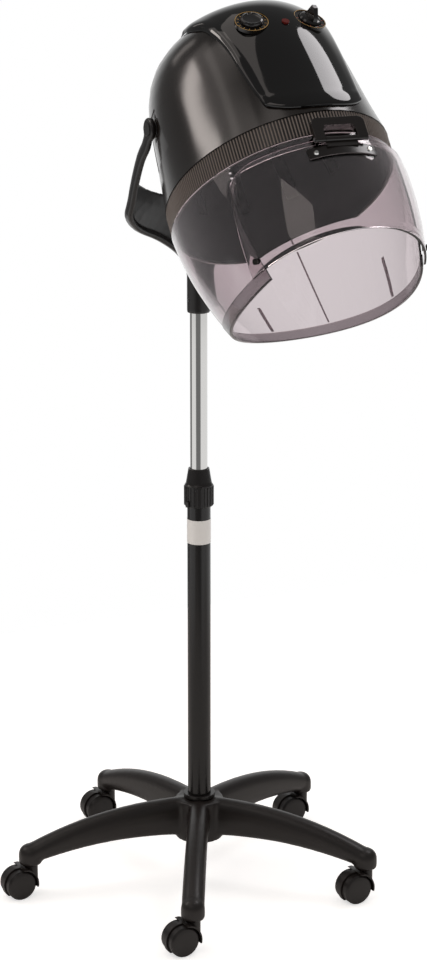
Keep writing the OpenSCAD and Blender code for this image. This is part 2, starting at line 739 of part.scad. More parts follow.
module control_body() {
    translate([0, 0, -48]) difference() {
        union() {
            translate([-18, -18, 0]) cube([36, 36, 30]);
            cylinder(r = 6, h = 44.5);
        }
        translate([0, 0, 8]) cylinder(r = 3 + run, h = cut_l);
    }
}
module timer_body() { color("#e3e0d6") hood_place() dial_place(-1) control_body(); }
module heat_switch() { color("#6d7074") hood_place() dial_place(1) control_body(); }

module dial_bezels() {
    color("#1d1c1a") hood_place() for (s = [-1, 1]) dial_place(s) {
        ring(bezel_d / 2, dial_d / 2 + 1, -3, 1.6);
        ring(bezel_d / 2, bezel_d / 2 - 1.4, 1.5, 2.6);
    }
}

module dial_shaft() { translate([0, 0, -38]) cylinder(r = 3, h = 40); }

// The timer's dial is a low cap with a finger dip, and the heat dial has a tall pointer.
module timer_knob() {
    r = dial_d / 2;
    color("#161617") hood_place() dial_place(-1) {
        dial_shaft();
        difference() {
            rotate_extrude() polygon([
                [0, -2.5], [r, -2.5], [r, 5], [r - 0.8, 7], [r - 3, 8], [r - 5, 7.4], [0, 7.4]]);
            translate([0, r - 4, 9.5]) sphere(r = 4);
        }
    }
}
module heat_knob() {
    r = dial_d / 2;
    color("#161617") hood_place() dial_place(1) {
        dial_shaft();
        rotate_extrude() polygon([[0, -2.5], [r, -2.5], [r, 3], [r - 1.5, 5.5], [r - 5, 7], [0, 7]]);
        translate([3.5, 0, 6]) rotate([90, 0, -90]) linear_extrude(height = 7)
            polygon([[-r + 3, 0], [r - 2, 0], [r - 3, 5], [4, pointer_h - 7], [-3, pointer_h - 6], [-8, 6]]);
    }
}

module pilot_lamp() {
    color("#c33a2a") hood_place() lamp_place() {
        translate([0, 0, -16]) cylinder(r = 4, h = 16);
        translate([0, 0, -1]) cylinder(r = 5.5, h = 3.5);
    }
}

gland_r = 8;
cord_r = 3.75;
gland_share = 178 / 253;
module gland_place() {
    translate(dome_point(180, dome_b(dome_h * gland_share), 0)) rotate([-90 + 30, 0, 0]) children();
}
module cord_gland() {
    color("#161617") hood_place() gland_place() difference() {
        union() {
            translate([0, 0, -9]) cylinder(r = gland_r, h = 14);
            translate([0, 0, 5]) cylinder(r1 = gland_r + 3, r2 = gland_r - 1, h = 12);
        }
        translate([0, 0, -20]) cylinder(r = cord_r, h = cut_l);
    }
}

module pivot_bolts() {
    color("#a9a9a9") hood_place() for (s = [-1, 1]) boss_place(s) {
        translate([0, 0, pad_floor - 16])
            cylinder(r = pivot_d / 2, h = 16 + pad_out - cap_sunk - seat - pad_floor);
        translate([0, 0, pad_floor - 2 * boss_sunk - 6]) cylinder(r = boss_r - 3, h = 6);
        translate([0, 0, pad_floor - boss_sunk])
            cylinder(r = boss_r, h = boss_sunk + pad_in - washer_t - pad_floor);
    }
}

// ---------- visor ----------

VISOR_COLS = 60;
VISOR_ROWS = 10;
function visor_s(d) = 1 + 0.0176 * d / 250 - visor_taper * pow(d / 250, 2);
// A point of the visor's outer face, d below the ring
function visor_point(phi, d, off) =
    [(hood_half_w * visor_s(d) + off) * sin(phi),
     -(hood_half_l * visor_s(d) + off) * cos(phi) - visor_lean * d, -ring_h - d];
function visor_rim(phi) = visor_back + (visor_side - visor_back) * pow(sin(phi), 2);
function visor_depth(phi, j) =
    let (rim = visor_rim(phi), last = VISOR_ROWS)
    j == last ? rim : j == last - 1 ? rim - visor_band : j == last - 2 ? rim - visor_band - 1.5
    : j == 0 ? 0 : mix(18, rim - visor_band - 20, (j - 1) / (last - 4));

// The window's upper corners are cut in two steps that the flap's rounded corners cover.
module visor_skirt() {
    phi = function (i) -i * 360 / VISOR_COLS;
    lip = function (j) j >= VISOR_ROWS - 1 ? 1.2 : 0;
    col = 360 / VISOR_COLS;
    fr = function (i) let (a = (i + 0.5) * col) min(a, 360 - a);
    at = function (i, j, off) visor_point(phi(i), visor_depth(phi(i), j), off);
    color("#b9a9b3", 0.45) hood_place() {
        grid_wall(
            [for (i = [0:VISOR_COLS - 1]) [for (j = [0:VISOR_ROWS]) at(i, j, lip(j))]],
            [for (i = [0:VISOR_COLS - 1]) [for (j = [0:VISOR_ROWS]) at(i, j, -visor_wall)]],
            true, false, function (i, j) j > 0 && fr(i) < window_half - (j < 4 ? col : 0) - (j < 2 ? col : 0));
        for (p = VISOR_RIBS) visor_bar(p, 0.9, 88, visor_rib);
        for (p = [-seam_phi, seam_phi]) visor_bar(p, 0.45, 3, visor_rib / 2);
    }
}

// Moulded ribs inside the visor, and the seams where its rear and side walls meet
VISOR_RIBS = [-105, 105, 180];
seam_phi = 147;
module visor_bar(phi, half, d0, deep) {
    d1 = visor_rim(phi) - visor_band - 2;
    loft([for (k = [0:5]) let (d = mix(d0, d1, k / 5)) [
        visor_point(phi - half, d, -visor_wall - deep), visor_point(phi + half, d, -visor_wall - deep),
        visor_point(phi + half, d, 0.3 - visor_wall), visor_point(phi - half, d, 0.3 - visor_wall)]]);
}

flap_top = 14;
flap_low = 158;
flap_lip = 1.2;
function flap_point(p, v, off) =
    let (q = max(0, (abs(p) - 0.7) / 0.3), top = flap_top + 30 * (1 - sqrt(max(0, 1 - q * q))),
         low = flap_low + 10 * p * p, d = mix(top, low, v), half = mix(window_half - 3, window_half + 8, v))
    visor_point(p * half, d, off);

module visor_flap() {
    n = 20;
    m = 9;
    v = function (j) j == m ? 1 : j / m * 0.97;
    thick = function (i, j) min(i, n - i) == 0 || j >= m - 1 ? flap_lip : 0;
    color("#b9a9b3", 0.45) hood_place() difference() {
        grid_wall(
            [for (i = [n:-1:0]) [for (j = [0:m])
                flap_point(2 * i / n - 1, v(j), flap_gap + flap_wall + thick(i, j))]],
            [for (i = [n:-1:0]) [for (j = [0:m]) flap_point(2 * i / n - 1, v(j), flap_gap)]],
            false);
        plate_place() for (s = [-1, 1]) plate_screw(s) cylinder(r = screw_r + 0.2, h = 40, center = true);
        for (s = [-1, 1]) on_visor(s * clip_phi, clip_d, flap_gap)
            cylinder(r = clip_r + 0.15, h = 20, center = true);
    }
}

// The hinge's frame: its origin is on the pin, and -Z follows the flap's face.
hinge_d = 18;
hinge_proud = 4.5;
hinge_tip = 10;
hinge_y = -(hood_half_l * visor_s(hinge_d) + visor_lean * hinge_d + flap_gap + flap_wall + hinge_proud);
hinge_half = 41;
hinge_top = -ring_h + 14;
hinge_corner = 10;
ear_t = 7;
pin_r = 2;
barrel_r = 4.2;
barrel_half = 24.5;
plate_half = 52;
plate_t = 2.2;
// The plate is bent to the flap's curve at its front.
plate_off = flap_gap + flap_wall;
plate_rho = pow(hood_half_w + plate_off, 2) / (hood_half_l + plate_off) - 2;

module plate_place() { translate([0, hinge_y, -ring_h - hinge_d]) rotate([-hinge_tip, 0, 0]) children(); }
module plate_screw(s) {
    a = asin(s * 41 / (plate_rho + 2));
    translate([0, plate_rho + hinge_proud - 0.6, -16]) rotate([0, 0, a])
        translate([0, -plate_rho, 0]) rotate([90, 0, 0]) children();
}

module flap_plate() {
    color("#2a2a2c") hood_place() plate_place() difference() {
        union() {
            intersection() {
                translate([0, plate_rho + hinge_proud - 0.6, -24]) difference() {
                    cylinder(r = plate_rho + plate_t, h = 17, $fn = 128);
                    translate([0, 0, -1]) cylinder(r = plate_rho, h = 19, $fn = 128);
                }
                translate([-plate_half, -20, -24]) cube([2 * plate_half, 40, 17]);
            }
            rotate([0, 90, 0]) cylinder(r = barrel_r, h = 2 * barrel_half, center = true);
            translate([-barrel_half, 0.8, -12]) cube([2 * barrel_half, 2.6, 12]);
        }
        rotate([0, 90, 0]) cylinder(r = pin_r + run, h = 4 * barrel_half, center = true);
        for (s = [-1, 1]) plate_screw(s) cylinder(r = screw_r + 0.2, h = 40, center = true);
    }
}

module flap_screws() {
    color("#c9c9cb") hood_place() plate_place() for (s = [-1, 1]) plate_screw(s) {
        translate([0, 0, plate_t]) cylinder(r1 = 3.8, r2 = 2.6, h = 2);
        translate([0, 0, -6]) cylinder(r = screw_r, h = 6 + plate_t);
        translate([0, 0, -6.5]) cylinder(r = 3.2, h = 2, $fn = 6);
    }
}

// Children stand on the visor's face, or a distance off it, with Z outward.
module on_visor(phi, d, off) {
    across = unit(visor_point(phi + 1, d, off) - visor_point(phi - 1, d, off));
    down = unit(visor_point(phi, d + 1, off) - visor_point(phi, d - 1, off));
    out = unit(cross(down, across));
    side = cross(out, across);
    p = visor_point(phi, d, off);
    multmatrix([for (k = [0:2]) [across[k], side[k], out[k], p[k]]]) children();
}

clip_phi = 61;
clip_d = 150;
clip_r = 2.6;

module flap_clips() {
    head = flap_wall + flap_lip + 0.2;
    color("#1a1a1b") hood_place() for (s = [-1, 1]) on_visor(s * clip_phi, clip_d, flap_gap) {
        translate([0, 0, -2]) cylinder(r = clip_r + 2, h = 1.6);
        translate([0, 0, -1]) cylinder(r = clip_r, h = head + 2);
        translate([0, 0, head]) cylinder(r = clip_r + 2, h = 2);
    }
}

// A block on the ribbed ring with two rounded ears that hold the pin
module hinge_bracket() {
    ear = hinge_half - barrel_half - 0.3;
    inner = hinge_half - hinge_corner;
    front = hinge_y - barrel_r - 0.2;
    color("#1a1a1b") hood_place() difference() {
        union() {
            translate([-inner, front, hinge_top - 12]) cube([2 * inner, 30, 12]);
            for (s = [-1, 1]) {
                translate([s * inner, front, hinge_top - hinge_corner]) rotate([-90, 0, 0])
                    cylinder(r = hinge_corner, h = ear_t);
                translate([s > 0 ? hinge_half - ear : -hinge_half, 0, 0]) {
                    translate([0, hinge_y, -ring_h - hinge_d]) rotate([0, 90, 0])
                        cylinder(r = barrel_r + 0.2, h = ear);
                    translate([0, front, -ring_h - hinge_d])
                        cube([ear, ear_t, hinge_top - hinge_corner + ring_h + hinge_d]);
                }
            }
        }
        translate([0, hinge_y, -ring_h - hinge_d]) rotate([0, 90, 0])
            cylinder(r = pin_r + run, h = 4 * hinge_half, center = true);
        translate([0, 0, -ring_h]) linear_extrude(height = ring_h) polygon(oval(-0.3, 96));
    }
}

module hinge_pin() {
    color("#c9c9cb") hood_place() translate([0, hinge_y, -ring_h - hinge_d]) rotate([0, 90, 0])
        cylinder(r = pin_r, h = 2 * hinge_half + 2, center = true);
}

// ---------- nodes ----------

star_base();
hub_collar();
hub_bolt();
outer_pole();
clamp_collar();
clamp_collet();
pole_band();
for (n = [1:leg_count]) {
    at_caster(n) caster_stem();
    at_caster(n) caster_body();
    at_caster(n) caster_axle();
    at_caster(n) caster_wheels();
}
clamp_knob();
inner_tube();
tube_guide();
yoke();
yoke_screws();
pivot_washers();
pivot_caps();
outer_shell();
control_panel();
ribbed_ring();
inner_bowl();
bowl_grille();
motor();
motor_bracket();
heater_frame();
heater_coils();
timer_body();
heat_switch();
dial_bezels();
pilot_lamp();
cord_gland();
pivot_bolts();
rear_grille();
visor_skirt();
hinge_bracket();
hinge_pin();
fan();
timer_knob();
heat_knob();
visor_flap();
flap_plate();
flap_screws();
flap_clips();
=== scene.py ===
import json
import math
import bpy
import bmesh
from mathutils import Matrix, Vector


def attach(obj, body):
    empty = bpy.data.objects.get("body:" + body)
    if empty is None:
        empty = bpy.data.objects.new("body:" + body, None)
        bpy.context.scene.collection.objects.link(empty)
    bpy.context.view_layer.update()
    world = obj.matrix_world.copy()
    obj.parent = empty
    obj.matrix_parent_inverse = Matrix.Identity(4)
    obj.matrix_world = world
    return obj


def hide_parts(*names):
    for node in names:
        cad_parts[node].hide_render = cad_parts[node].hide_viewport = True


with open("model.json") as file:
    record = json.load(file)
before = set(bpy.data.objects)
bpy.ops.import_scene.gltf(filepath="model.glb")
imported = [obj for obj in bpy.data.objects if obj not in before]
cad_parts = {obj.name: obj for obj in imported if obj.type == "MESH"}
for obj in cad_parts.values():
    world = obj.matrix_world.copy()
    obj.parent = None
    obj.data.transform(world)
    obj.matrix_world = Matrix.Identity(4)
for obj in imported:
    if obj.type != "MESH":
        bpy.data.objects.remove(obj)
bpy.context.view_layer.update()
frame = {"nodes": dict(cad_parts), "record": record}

nodes = frame["nodes"]
mm = 0.001

# A long lens from the front left, a little above the hood.
cameraSetup = {
    "place": (-1.5776, -3.5021, 1.746),
    "pitchDown": 15.415,
    "turn": -24.603,
    "lens": 92.6,
    "sensor": 36.0,
    "farthest": 50,
}


def placeCamera(setup):
    lensData = bpy.data.cameras.new("camera")
    lensData.sensor_width = setup["sensor"]
    lensData.lens = setup["lens"]
    lensData.clip_end = setup["farthest"]
    camera = bpy.data.objects.new("camera", lensData)
    camera.location = setup["place"]
    camera.rotation_euler = (math.radians(90 - setup["pitchDown"]), 0, math.radians(setup["turn"]))
    bpy.context.scene.collection.objects.link(camera)
    bpy.context.scene.camera = camera


placeCamera(cameraSetup)
print("camera placed")


def linear(hexText):
    # a screen colour as the linear one that the shaders take
    channels = [int(hexText[k:k + 2], 16) / 255 for k in (1, 3, 5)]
    return tuple(c / 12.92 if c <= 0.04045 else ((c + 0.055) / 1.055) ** 2.4 for c in channels) + (1.0,)


def addNode(tree, kind, links=None, **settings):
    # links: socket name or number -> another node's socket, or a plain value
    node = tree.nodes.new(kind)
    for key, value in settings.items():
        setattr(node, key, value)
    for key, value in (links or {}).items():
        socket = node.inputs[key]
        if isinstance(value, bpy.types.NodeSocket):
            tree.links.new(value, socket)
        else:
            socket.default_value = value
    return node


def startMaterial(name):
    material = bpy.data.materials.new(name)
    material.use_nodes = True
    tree = material.node_tree
    tree.nodes.clear()
    output = tree.nodes.new("ShaderNodeOutputMaterial")
    return material, tree, output


def plainShader(tree, output, hexText, roughness, ior=1.5, metallic=0.0, extra=None, bump=None):
    links = {"Base Color": linear(hexText), "Roughness": roughness, "IOR": ior, "Metallic": metallic}
    links.update(extra or {})
    if bump is not None:
        links["Normal"] = bump
    shader = addNode(tree, "ShaderNodeBsdfPrincipled", links)
    tree.links.new(shader.outputs[0], output.inputs["Surface"])
    return shader


def grainBump(tree, grainMm, heightMm, strength, detail=2.0):
    # a moulded or cast surface: noise with grains of a real size
    place = addNode(tree, "ShaderNodeTexCoord")
    noise = addNode(tree, "ShaderNodeTexNoise",
                    {"Vector": place.outputs["Object"], "Scale": 1 / (grainMm * mm), "Detail": detail})
    bump = addNode(tree, "ShaderNodeBump",
                   {"Height": noise.outputs[0], "Strength": strength, "Distance": heightMm * mm})
    return bump.outputs[0]


def mouldedNylon(name, hexText, roughness, grainMm):
    # moulded nylon: a soft sheen broken up by fine spark grain
    material, tree, output = startMaterial(name)
    grain = grainBump(tree, grainMm, heightMm=0.05, strength=0.35)
    plainShader(tree, output, hexText, roughness, ior=1.53, bump=grain)
    return material


def glossAbs(name, hexText, roughness, specular=0.5):
    # injection-moulded ABS from a polished tool: clear reflections with a very slight waviness
    material, tree, output = startMaterial(name)
    waves = grainBump(tree, grainMm=45, heightMm=0.2, strength=0.12, detail=1.0)
    plainShader(tree, output, hexText, roughness, ior=1.54, bump=waves,
                extra={"Specular IOR Level": specular})
    return material


def paintedSteel(name, hexText):
    # gloss enamel on steel tube: smooth with a faint orange peel
    material, tree, output = startMaterial(name)
    peel = grainBump(tree, grainMm=3.0, heightMm=0.03, strength=0.2)
    plainShader(tree, output, hexText, roughness=0.22, bump=peel)
    return material


def brightMetal(name, hexText, roughness, grainMm):
    # plated or drawn metal with a fine finish
    material, tree, output = startMaterial(name)
    finish = grainBump(tree, grainMm, heightMm=0.02, strength=0.15)
    plainShader(tree, output, hexText, roughness, metallic=1.0, bump=finish)
    return material


def smokedAcrylic(name, hexText, roughness=0.02):
    # clear acrylic with a smoky tint
    material, tree, output = startMaterial(name)
    plainShader(tree, output, hexText, roughness, ior=1.49, extra={"Transmission Weight": 1.0})
    return material


def printedInk(name, hexText):
    # screen-printed ink: thin, flat and slightly glossy
    material, tree, output = startMaterial(name)
    film = grainBump(tree, grainMm=0.6, heightMm=0.01, strength=0.2)
    plainShader(tree, output, hexText, roughness=0.35, ior=1.48, bump=film)
    return material


def micaBoard(name, flakeMm=4):
    # pressed mica: pale, flaky and matt
    material, tree, output = startMaterial(name)
    place = addNode(tree, "ShaderNodeTexCoord")
    flakes = addNode(tree, "ShaderNodeTexVoronoi",
                     {"Vector": place.outputs["Object"], "Scale": 1 / (flakeMm * mm)})
    ramp = addNode(tree, "ShaderNodeValToRGB", {"Fac": flakes.outputs["Distance"]})
    ramp.color_ramp.elements[0].color = linear("#B7A57C")
    ramp.color_ramp.elements[1].color = linear("#CFC09A")
    shader = plainShader(tree, output, "#C2B28A", roughness=0.6, ior=1.56)
    tree.links.new(ramp.outputs["Color"], shader.inputs["Base Color"])
    return material


materials = {
    "base": mouldedNylon("mouldedNylonCharcoal", "#1D1816", roughness=0.4, grainMm=1.2),
    "wheel": mouldedNylon("mouldedNylonWheel", "#181413", roughness=0.36, grainMm=1.0),
    "pole": paintedSteel("enamelledSteelBlack", "#121010"),
    "clamp": mouldedNylon("mouldedNylonClamp", "#171414", roughness=0.34, grainMm=0.8),
    "bearing": mouldedNylon("acetalGrey", "#3A3A3C", roughness=0.4, grainMm=0.6),
    "chrome": brightMetal("chromePlatedTube", "#DAD9D7", roughness=0.08, grainMm=8.0),
    "zinc": brightMetal("zincPlatedSteel", "#A9AAAC", roughness=0.32, grainMm=1.2),
    "band": printedInk("bareFilmBand", "#FBFBFA"),
    "yoke": mouldedNylon("glassFilledNylonYoke", "#171414", roughness=0.32, grainMm=1.0),
    "shell": glossAbs("polishedAbsShell", "#17120F", roughness=0.17),
    "panel": glossAbs("polishedAbsPanel", "#0C0B0B", roughness=0.05),
    "ring": glossAbs("satinAbsRing", "#0F0C0B", roughness=0.3),
    # the ribs are the ring's own black ABS made a lighter grey: a painted highlight along the ribs
    "ringRibPaintedHighlight": glossAbs("satinAbsRibPaintedHighlight", "#6E645E", roughness=0.24, specular=1.0),
    "visor": smokedAcrylic("smokedAcrylicVisor", "#D7CDD0"),
    "visorEdge": smokedAcrylic("smokedAcrylicEdge", "#8C8084", roughness=0.12),
    "bowl": mouldedNylon("enamelledBowl", "#080606", roughness=0.55, grainMm=1.0),
    "mica": micaBoard("pressedMica"),
    "wire": brightMetal("oxidisedHeatingWire", "#8A7466", roughness=0.4, grainMm=1.0),
    "motor": mouldedNylon("paintedMotorCase", "#62666A", roughness=0.4, grainMm=1.5),
    "fan": mouldedNylon("polypropyleneFan", "#D4D3CF", roughness=0.4, grainMm=1.0),
    "switch": mouldedNylon("phenolicSwitchBody", "#D1CCBE", roughness=0.5, grainMm=1.0),
    "bezel": glossAbs("satinAbsBezel", "#14110F", roughness=0.2),
    "knob": glossAbs("polishedAbsKnob", "#131111", roughness=0.14),
    "lamp": glossAbs("clearRedLens", "#5E1813", roughness=0.08),
    "gland": mouldedNylon("rubberGland", "#1A1818", roughness=0.6, grainMm=0.6),
    "bracket": mouldedNylon("mouldedNylonBracket", "#191514", roughness=0.18, grainMm=0.8),
    "goldInk": printedInk("goldScreenInk", "#B08E52"),
    "redInk": printedInk("redScreenInk", "#9C4434"),
}
print("materials made")


meshWork = {
    "weld": 1e-6,
    "roundSegments": 2,
    "roundFrom": 40,
    "flatWithin": 0.8,
    "copySmooth": 28,
    "grownSmooth": 40,
    "mouldedSmooth": 180,
    "softenBy": 0.5,
    "softenPasses": 8,
}


def finishMesh(name, mesh, material, smoothAngle=35):
    # welds a mesh, turns its faces outward and shades it smooth up to an angle
    work = bmesh.new()
    work.from_mesh(mesh)
    bmesh.ops.remove_doubles(work, verts=work.verts, dist=meshWork["weld"])
    bmesh.ops.recalc_face_normals(work, faces=work.faces)
    for face in work.faces:
        face.smooth = True
    for edge in work.edges:
        sharp = len(edge.link_faces) != 2 or edge.calc_face_angle(0) > math.radians(smoothAngle)
        edge.smooth = not sharp
    work.to_mesh(mesh)
    work.free()
    mesh.materials.clear()
    mesh.materials.append(material)
    made = bpy.data.objects.new(name, mesh)
    bpy.context.scene.collection.objects.link(made)
    return made


def objectFrom(name, points, faces, material, smoothAngle):
    mesh = bpy.data.meshes.new(name)
    mesh.from_pydata([tuple(p) for p in points], [], faces)
    return finishMesh(name, mesh, material, smoothAngle)


def applied(piece):
    # the piece with its modifiers worked into its mesh
    bpy.context.view_layer.update()
    view = bpy.context.evaluated_depsgraph_get()
    mesh = bpy.data.meshes.new_from_object(piece.evaluated_get(view))
    piece.modifiers.clear()
    piece.data = mesh
    return piece


def rounded(piece, widthMm):
    # the piece with a small round along its corners
    bevel = piece.modifiers.new("edges", "BEVEL")
    bevel.width = widthMm * mm
    bevel.segments = meshWork["roundSegments"]
    bevel.limit_method = "ANGLE"
    bevel.angle_limit = math.radians(meshWork["roundFrom"])
    return applied(piece)


def sunk(piece, cutters):
    # the piece less some cutting shapes
    for cutter in cutters:
        cut = piece.modifiers.new("cut", "BOOLEAN")
        cut.operation = "DIFFERENCE"
        cut.solver = "EXACT"
        cut.object = cutter
    applied(piece)
    for cutter in cutters:
        bpy.data.objects.remove(cutter)
    return piece


def fit(piece, body, slotName, *replacedNodes):
    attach(piece, body)
    if replacedNodes:
        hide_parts(*replacedNodes)
    return piece


def wallObject(name, outer, inner, wrap, material, keep=lambda i, j: True, smoothAngle=50):
    # a closed wall between two grids of points, with its cut edges closed
    columns, rows = len(outer), len(outer[0])
    points = [p for grid in (outer, inner) for column in grid for p in column]
    count = columns * rows
    cells = columns if wrap else columns - 1

    def there(i, j):
        if j < 0 or j >= rows - 1 or (not wrap and (i < 0 or i >= cells)):
            return False
        return keep(i % cells, j)

    def at(side, i, j):
        return side * count + (i % columns) * rows + j

    faces = []
    for i in range(cells):
        for j in range(rows - 1):
            if not there(i, j):
                continue
            a, b, c, d = (i, j), (i + 1, j), (i + 1, j + 1), (i, j + 1)
            faces.append([at(0, *p) for p in (d, c, b, a)])
            faces.append([at(1, *p) for p in (a, b, c, d)])
            for near, p, q in ((there(i, j - 1), a, b), (there(i + 1, j), b, c),
                               (there(i, j + 1), c, d), (there(i - 1, j), d, a)):
                if not near:
                    faces.append([at(0, *p), at(0, *q), at(1, *q), at(1, *p)])
    made = objectFrom(name, points, faces, material, smoothAngle)
    loose = bmesh.new()
    loose.from_mesh(made.data)
    bmesh.ops.delete(loose, geom=[v for v in loose.verts if not v.link_faces], context="VERTS")
    loose.to_mesh(made.data)
    loose.free()
    return made


# The hood's own frame, in millimetres: the front is -Y and Z runs up the tilted axis.
hood = {
    "halfWidth": 163.5,
    "halfLength": 197.5,
    "height": 253.0,
    "square": 3.375,
    "crownSetBack": 28.0,
    "waist": 0.28,
    "tilt": 37.3,
    "forward": 278.0,
    "middleHeight": 1210.0,
}
hoodMatrix = (Matrix.Translation((0, -hood["forward"] * mm, hood["middleHeight"] * mm))
              @ Matrix.Rotation(math.radians(-hood["tilt"]), 4, "X") @ Matrix.Diagonal((mm, mm, mm, 1)))
hoodInverse = hoodMatrix.inverted()


def inHood(x, y, z):
    return hoodMatrix @ Vector((x, y, z))


def domeSide(b, rise):
    # how wide the dome still is at a row, as a share of its foot
    narrowing = max(math.cos(math.radians(b)), 0) ** (2 / hood["square"])
    return narrowing * (1 - hood["waist"] * rise * (1 - rise))


def domeLocal(phi, b, off=0.0):
    # a place on the dome: phi turns from the front, b climbs from 0 at the foot to 90 at the crown
    rise = math.sin(math.radians(b)) ** (2 / hood["square"])
    side = domeSide(b, rise)
    a = math.radians(phi)
    return Vector(((hood["halfWidth"] + off) * side * math.sin(a),
                   -(hood["halfLength"] + off) * side * math.cos(a) + hood["crownSetBack"] * rise,
                   (hood["height"] + off) * rise))


def domeRow(height):
    # the row of the dome, in degrees, at a height over its foot
    return math.degrees(math.asin(min(1.0, max(0.0, height / hood["height"])) ** (hood["square"] / 2)))


domeShade = {
    "margin": 0.0005,
    "faceReach": 0.5,
    "step": 0.05,
    "lowestRow": 0.001,
    "sameWay": 0.93,
    "smoothAngle": 28,
}


def domeNormal(place):
    # the outward direction of the dome at a place on it, or None away from its outer face
    rise = place.z / hood["height"]
    if not domeShade["margin"] <= rise <= 1 - domeShade["margin"]:
        return None
    b = domeRow(place.z)
    side = domeSide(b, rise)
    across = place.x / (hood["halfWidth"] * side)
    along = -(place.y - hood["crownSetBack"] * rise) / (hood["halfLength"] * side)
    if abs(math.hypot(across, along) - 1) * hood["halfWidth"] * side > domeShade["faceReach"]:
        return None
    phi = math.degrees(math.atan2(across, along))
    step = domeShade["step"]
    around = domeLocal(phi + step, b) - domeLocal(phi - step, b)
    up = domeLocal(phi, min(90, b + step)) - domeLocal(phi, max(domeShade["lowestRow"], b - step))
    return around.cross(up).normalized()


def makeShell():
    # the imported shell, shaded by the dome's own curve
    mesh = nodes["outer_shell"].data.copy()
    shell = finishMesh("hoodShell", mesh, materials["shell"], domeShade["smoothAngle"])
    turned = hoodMatrix.to_3x3().normalized()
    curve = {v.index: domeNormal(hoodInverse @ v.co) for v in mesh.vertices}
    shading = [Vector(corner.vector) for corner in mesh.corner_normals]
    for face in mesh.polygons:
        for loopIndex in face.loop_indices:
            local = curve[mesh.loops[loopIndex].vertex_index]
            if local is None:
                continue
            normal = (turned @ local).normalized()
            if normal.dot(face.normal) > domeShade["sameWay"]:
                shading[loopIndex] = normal
    mesh.normals_split_custom_set(shading)
    return fit(shell, "hood", "gloss_black", "outer_shell")


makeShell()
print("hood shell made")

# The visor is an open skirt and a flap that lifts in front of its window. Places on it are given by
# degrees from the front and by millimetres of depth below the ring.
visor = {
    "ringHeight": 36.0,
    "back": 160.0,
    "side": 186.0,
    "lean": 0.2187,
    "flare": 0.0176,
    "taper": 0.345,
    "fullDepth": 250,
    "wall": 3.0,
    "lip": 1.2,
    "band": 19.0,
    "windowHalf": 60.0,
    "windowTop": 18.0,
    "cornerHalf": 48.0,
    "cornerDepth": 61.0,
    "columns": 180,
    "rows": 24,
    "guideDepth": 120,
}


def visorLocal(phi, depth, off):
    # a place on the visor, moved outward by off
    a = math.radians(phi)
    full = visor["fullDepth"]
    scale = 1 + visor["flare"] * depth / full - visor["taper"] * (depth / full) ** 2
    return Vector(((hood["halfWidth"] * scale + off) * math.sin(a),
                   -(hood["halfLength"] * scale + off) * math.cos(a) - visor["lean"] * depth,
                   -visor["ringHeight"] - depth))


def visorRim(phi):
    return visor["back"] + (visor["side"] - visor["back"]) * math.sin(math.radians(phi)) ** 2


def windowEdge(depth):
    # the window's half width in degrees: its upper corners are rounded
    share = min(1.0, max(0.0, (depth - visor["windowTop"]) / visor["cornerDepth"]))
    wider = visor["windowHalf"] - visor["cornerHalf"]
    return visor["cornerHalf"] + wider * math.sqrt(1 - (1 - share) ** 2)


def turnedTo(base, depth):
    # moves a column sideways so that the window's edge falls on a whole column
    edge, flat = windowEdge(depth), visor["windowHalf"]
    size = abs(base)
    turned = size * edge / flat if size <= flat else edge + (size - flat) * (180 - edge) / (180 - flat)
    return math.copysign(turned, base)


def besideWindow(i):
    # whether a column of the visor stands beside the window
    middle = (i + 0.5) * 360 / visor["columns"]
    return min(middle, 360 - middle) > visor["windowHalf"]


def makeSkirt():
    columns, rows, top = visor["columns"], visor["rows"], visor["windowTop"]
    bases = [-360 * i / columns for i in range(columns)]
    bases = [base + 360 if base < -180 else base for base in bases]

    def depthAt(j, low):
        # the first row sits in the ring, and the others run from the window's top to the low depth
        return 0 if j == 0 else top + (low - top) * (j - 1) / (rows - 2)

    def grid(off):
        made = []
        for base in bases:
            turns = [turnedTo(base, depthAt(j, visor["guideDepth"])) for j in range(rows)]
            made.append([inHood(*visorLocal(phi, depthAt(j, visorRim(phi) - visor["band"]), off))
                         for j, phi in enumerate(turns)])
        return made

    skirt = wallObject("visorSkirt", grid(0), grid(-visor["wall"]), True, materials["visor"],
                       lambda i, j: besideWindow(i) or j == 0)
    fit(skirt, "hood", "visor_clear", "visor_skirt")
    print("visor skirt:", len(skirt.data.polygons), "faces")


rimBand = {
    "topSteps": (0.02, 1.2),
    "lowSteps": (1.5, 0.4, 0.0),
    "lipLoss": (0.0, 0.0, 0.3, 1.0),
    "innerLoss": 0.4,
}


def makeSkirtBand():
    # the thicker band along the rim
    columns, wall = visor["columns"], visor["wall"]
    outside = [0.0] + [visor["lip"] - loss for loss in rimBand["lipLoss"]]
    inside = [-wall] * (len(outside) - 1) + [rimBand["innerLoss"] - wall]

    def grid(offs):
        made = []
        for i in range(columns):
            phi = -360 * i / columns
            low = visorRim(phi)
            depths = [low - visor["band"] + step for step in rimBand["topSteps"]]
            depths += [low - step for step in rimBand["lowSteps"]]
            made.append([inHood(*visorLocal(phi, depth, off)) for depth, off in zip(depths, offs)])
        return made

    band = wallObject("visorBand", grid(outside), grid(inside), True, materials["visorEdge"],
                      lambda i, j: besideWindow(i))
    fit(band, "hood", "visor_clear")


skirtBars = {
    "ribs": {"turns": (-105, 105, 180), "half": 0.9, "top": 88.0, "deep": 1.6},
    "seams": {"turns": (-147, 147), "half": 0.45, "top": 3.0, "deep": 0.8},
}
barForm = {
    "steps": 24,
    "aboveBand": 2,
    "sunk": 0.02,
    "crest": 0.8,
    "endShare": 0.25,
    "endSteps": 3,
    "smoothAngle": 50,
}


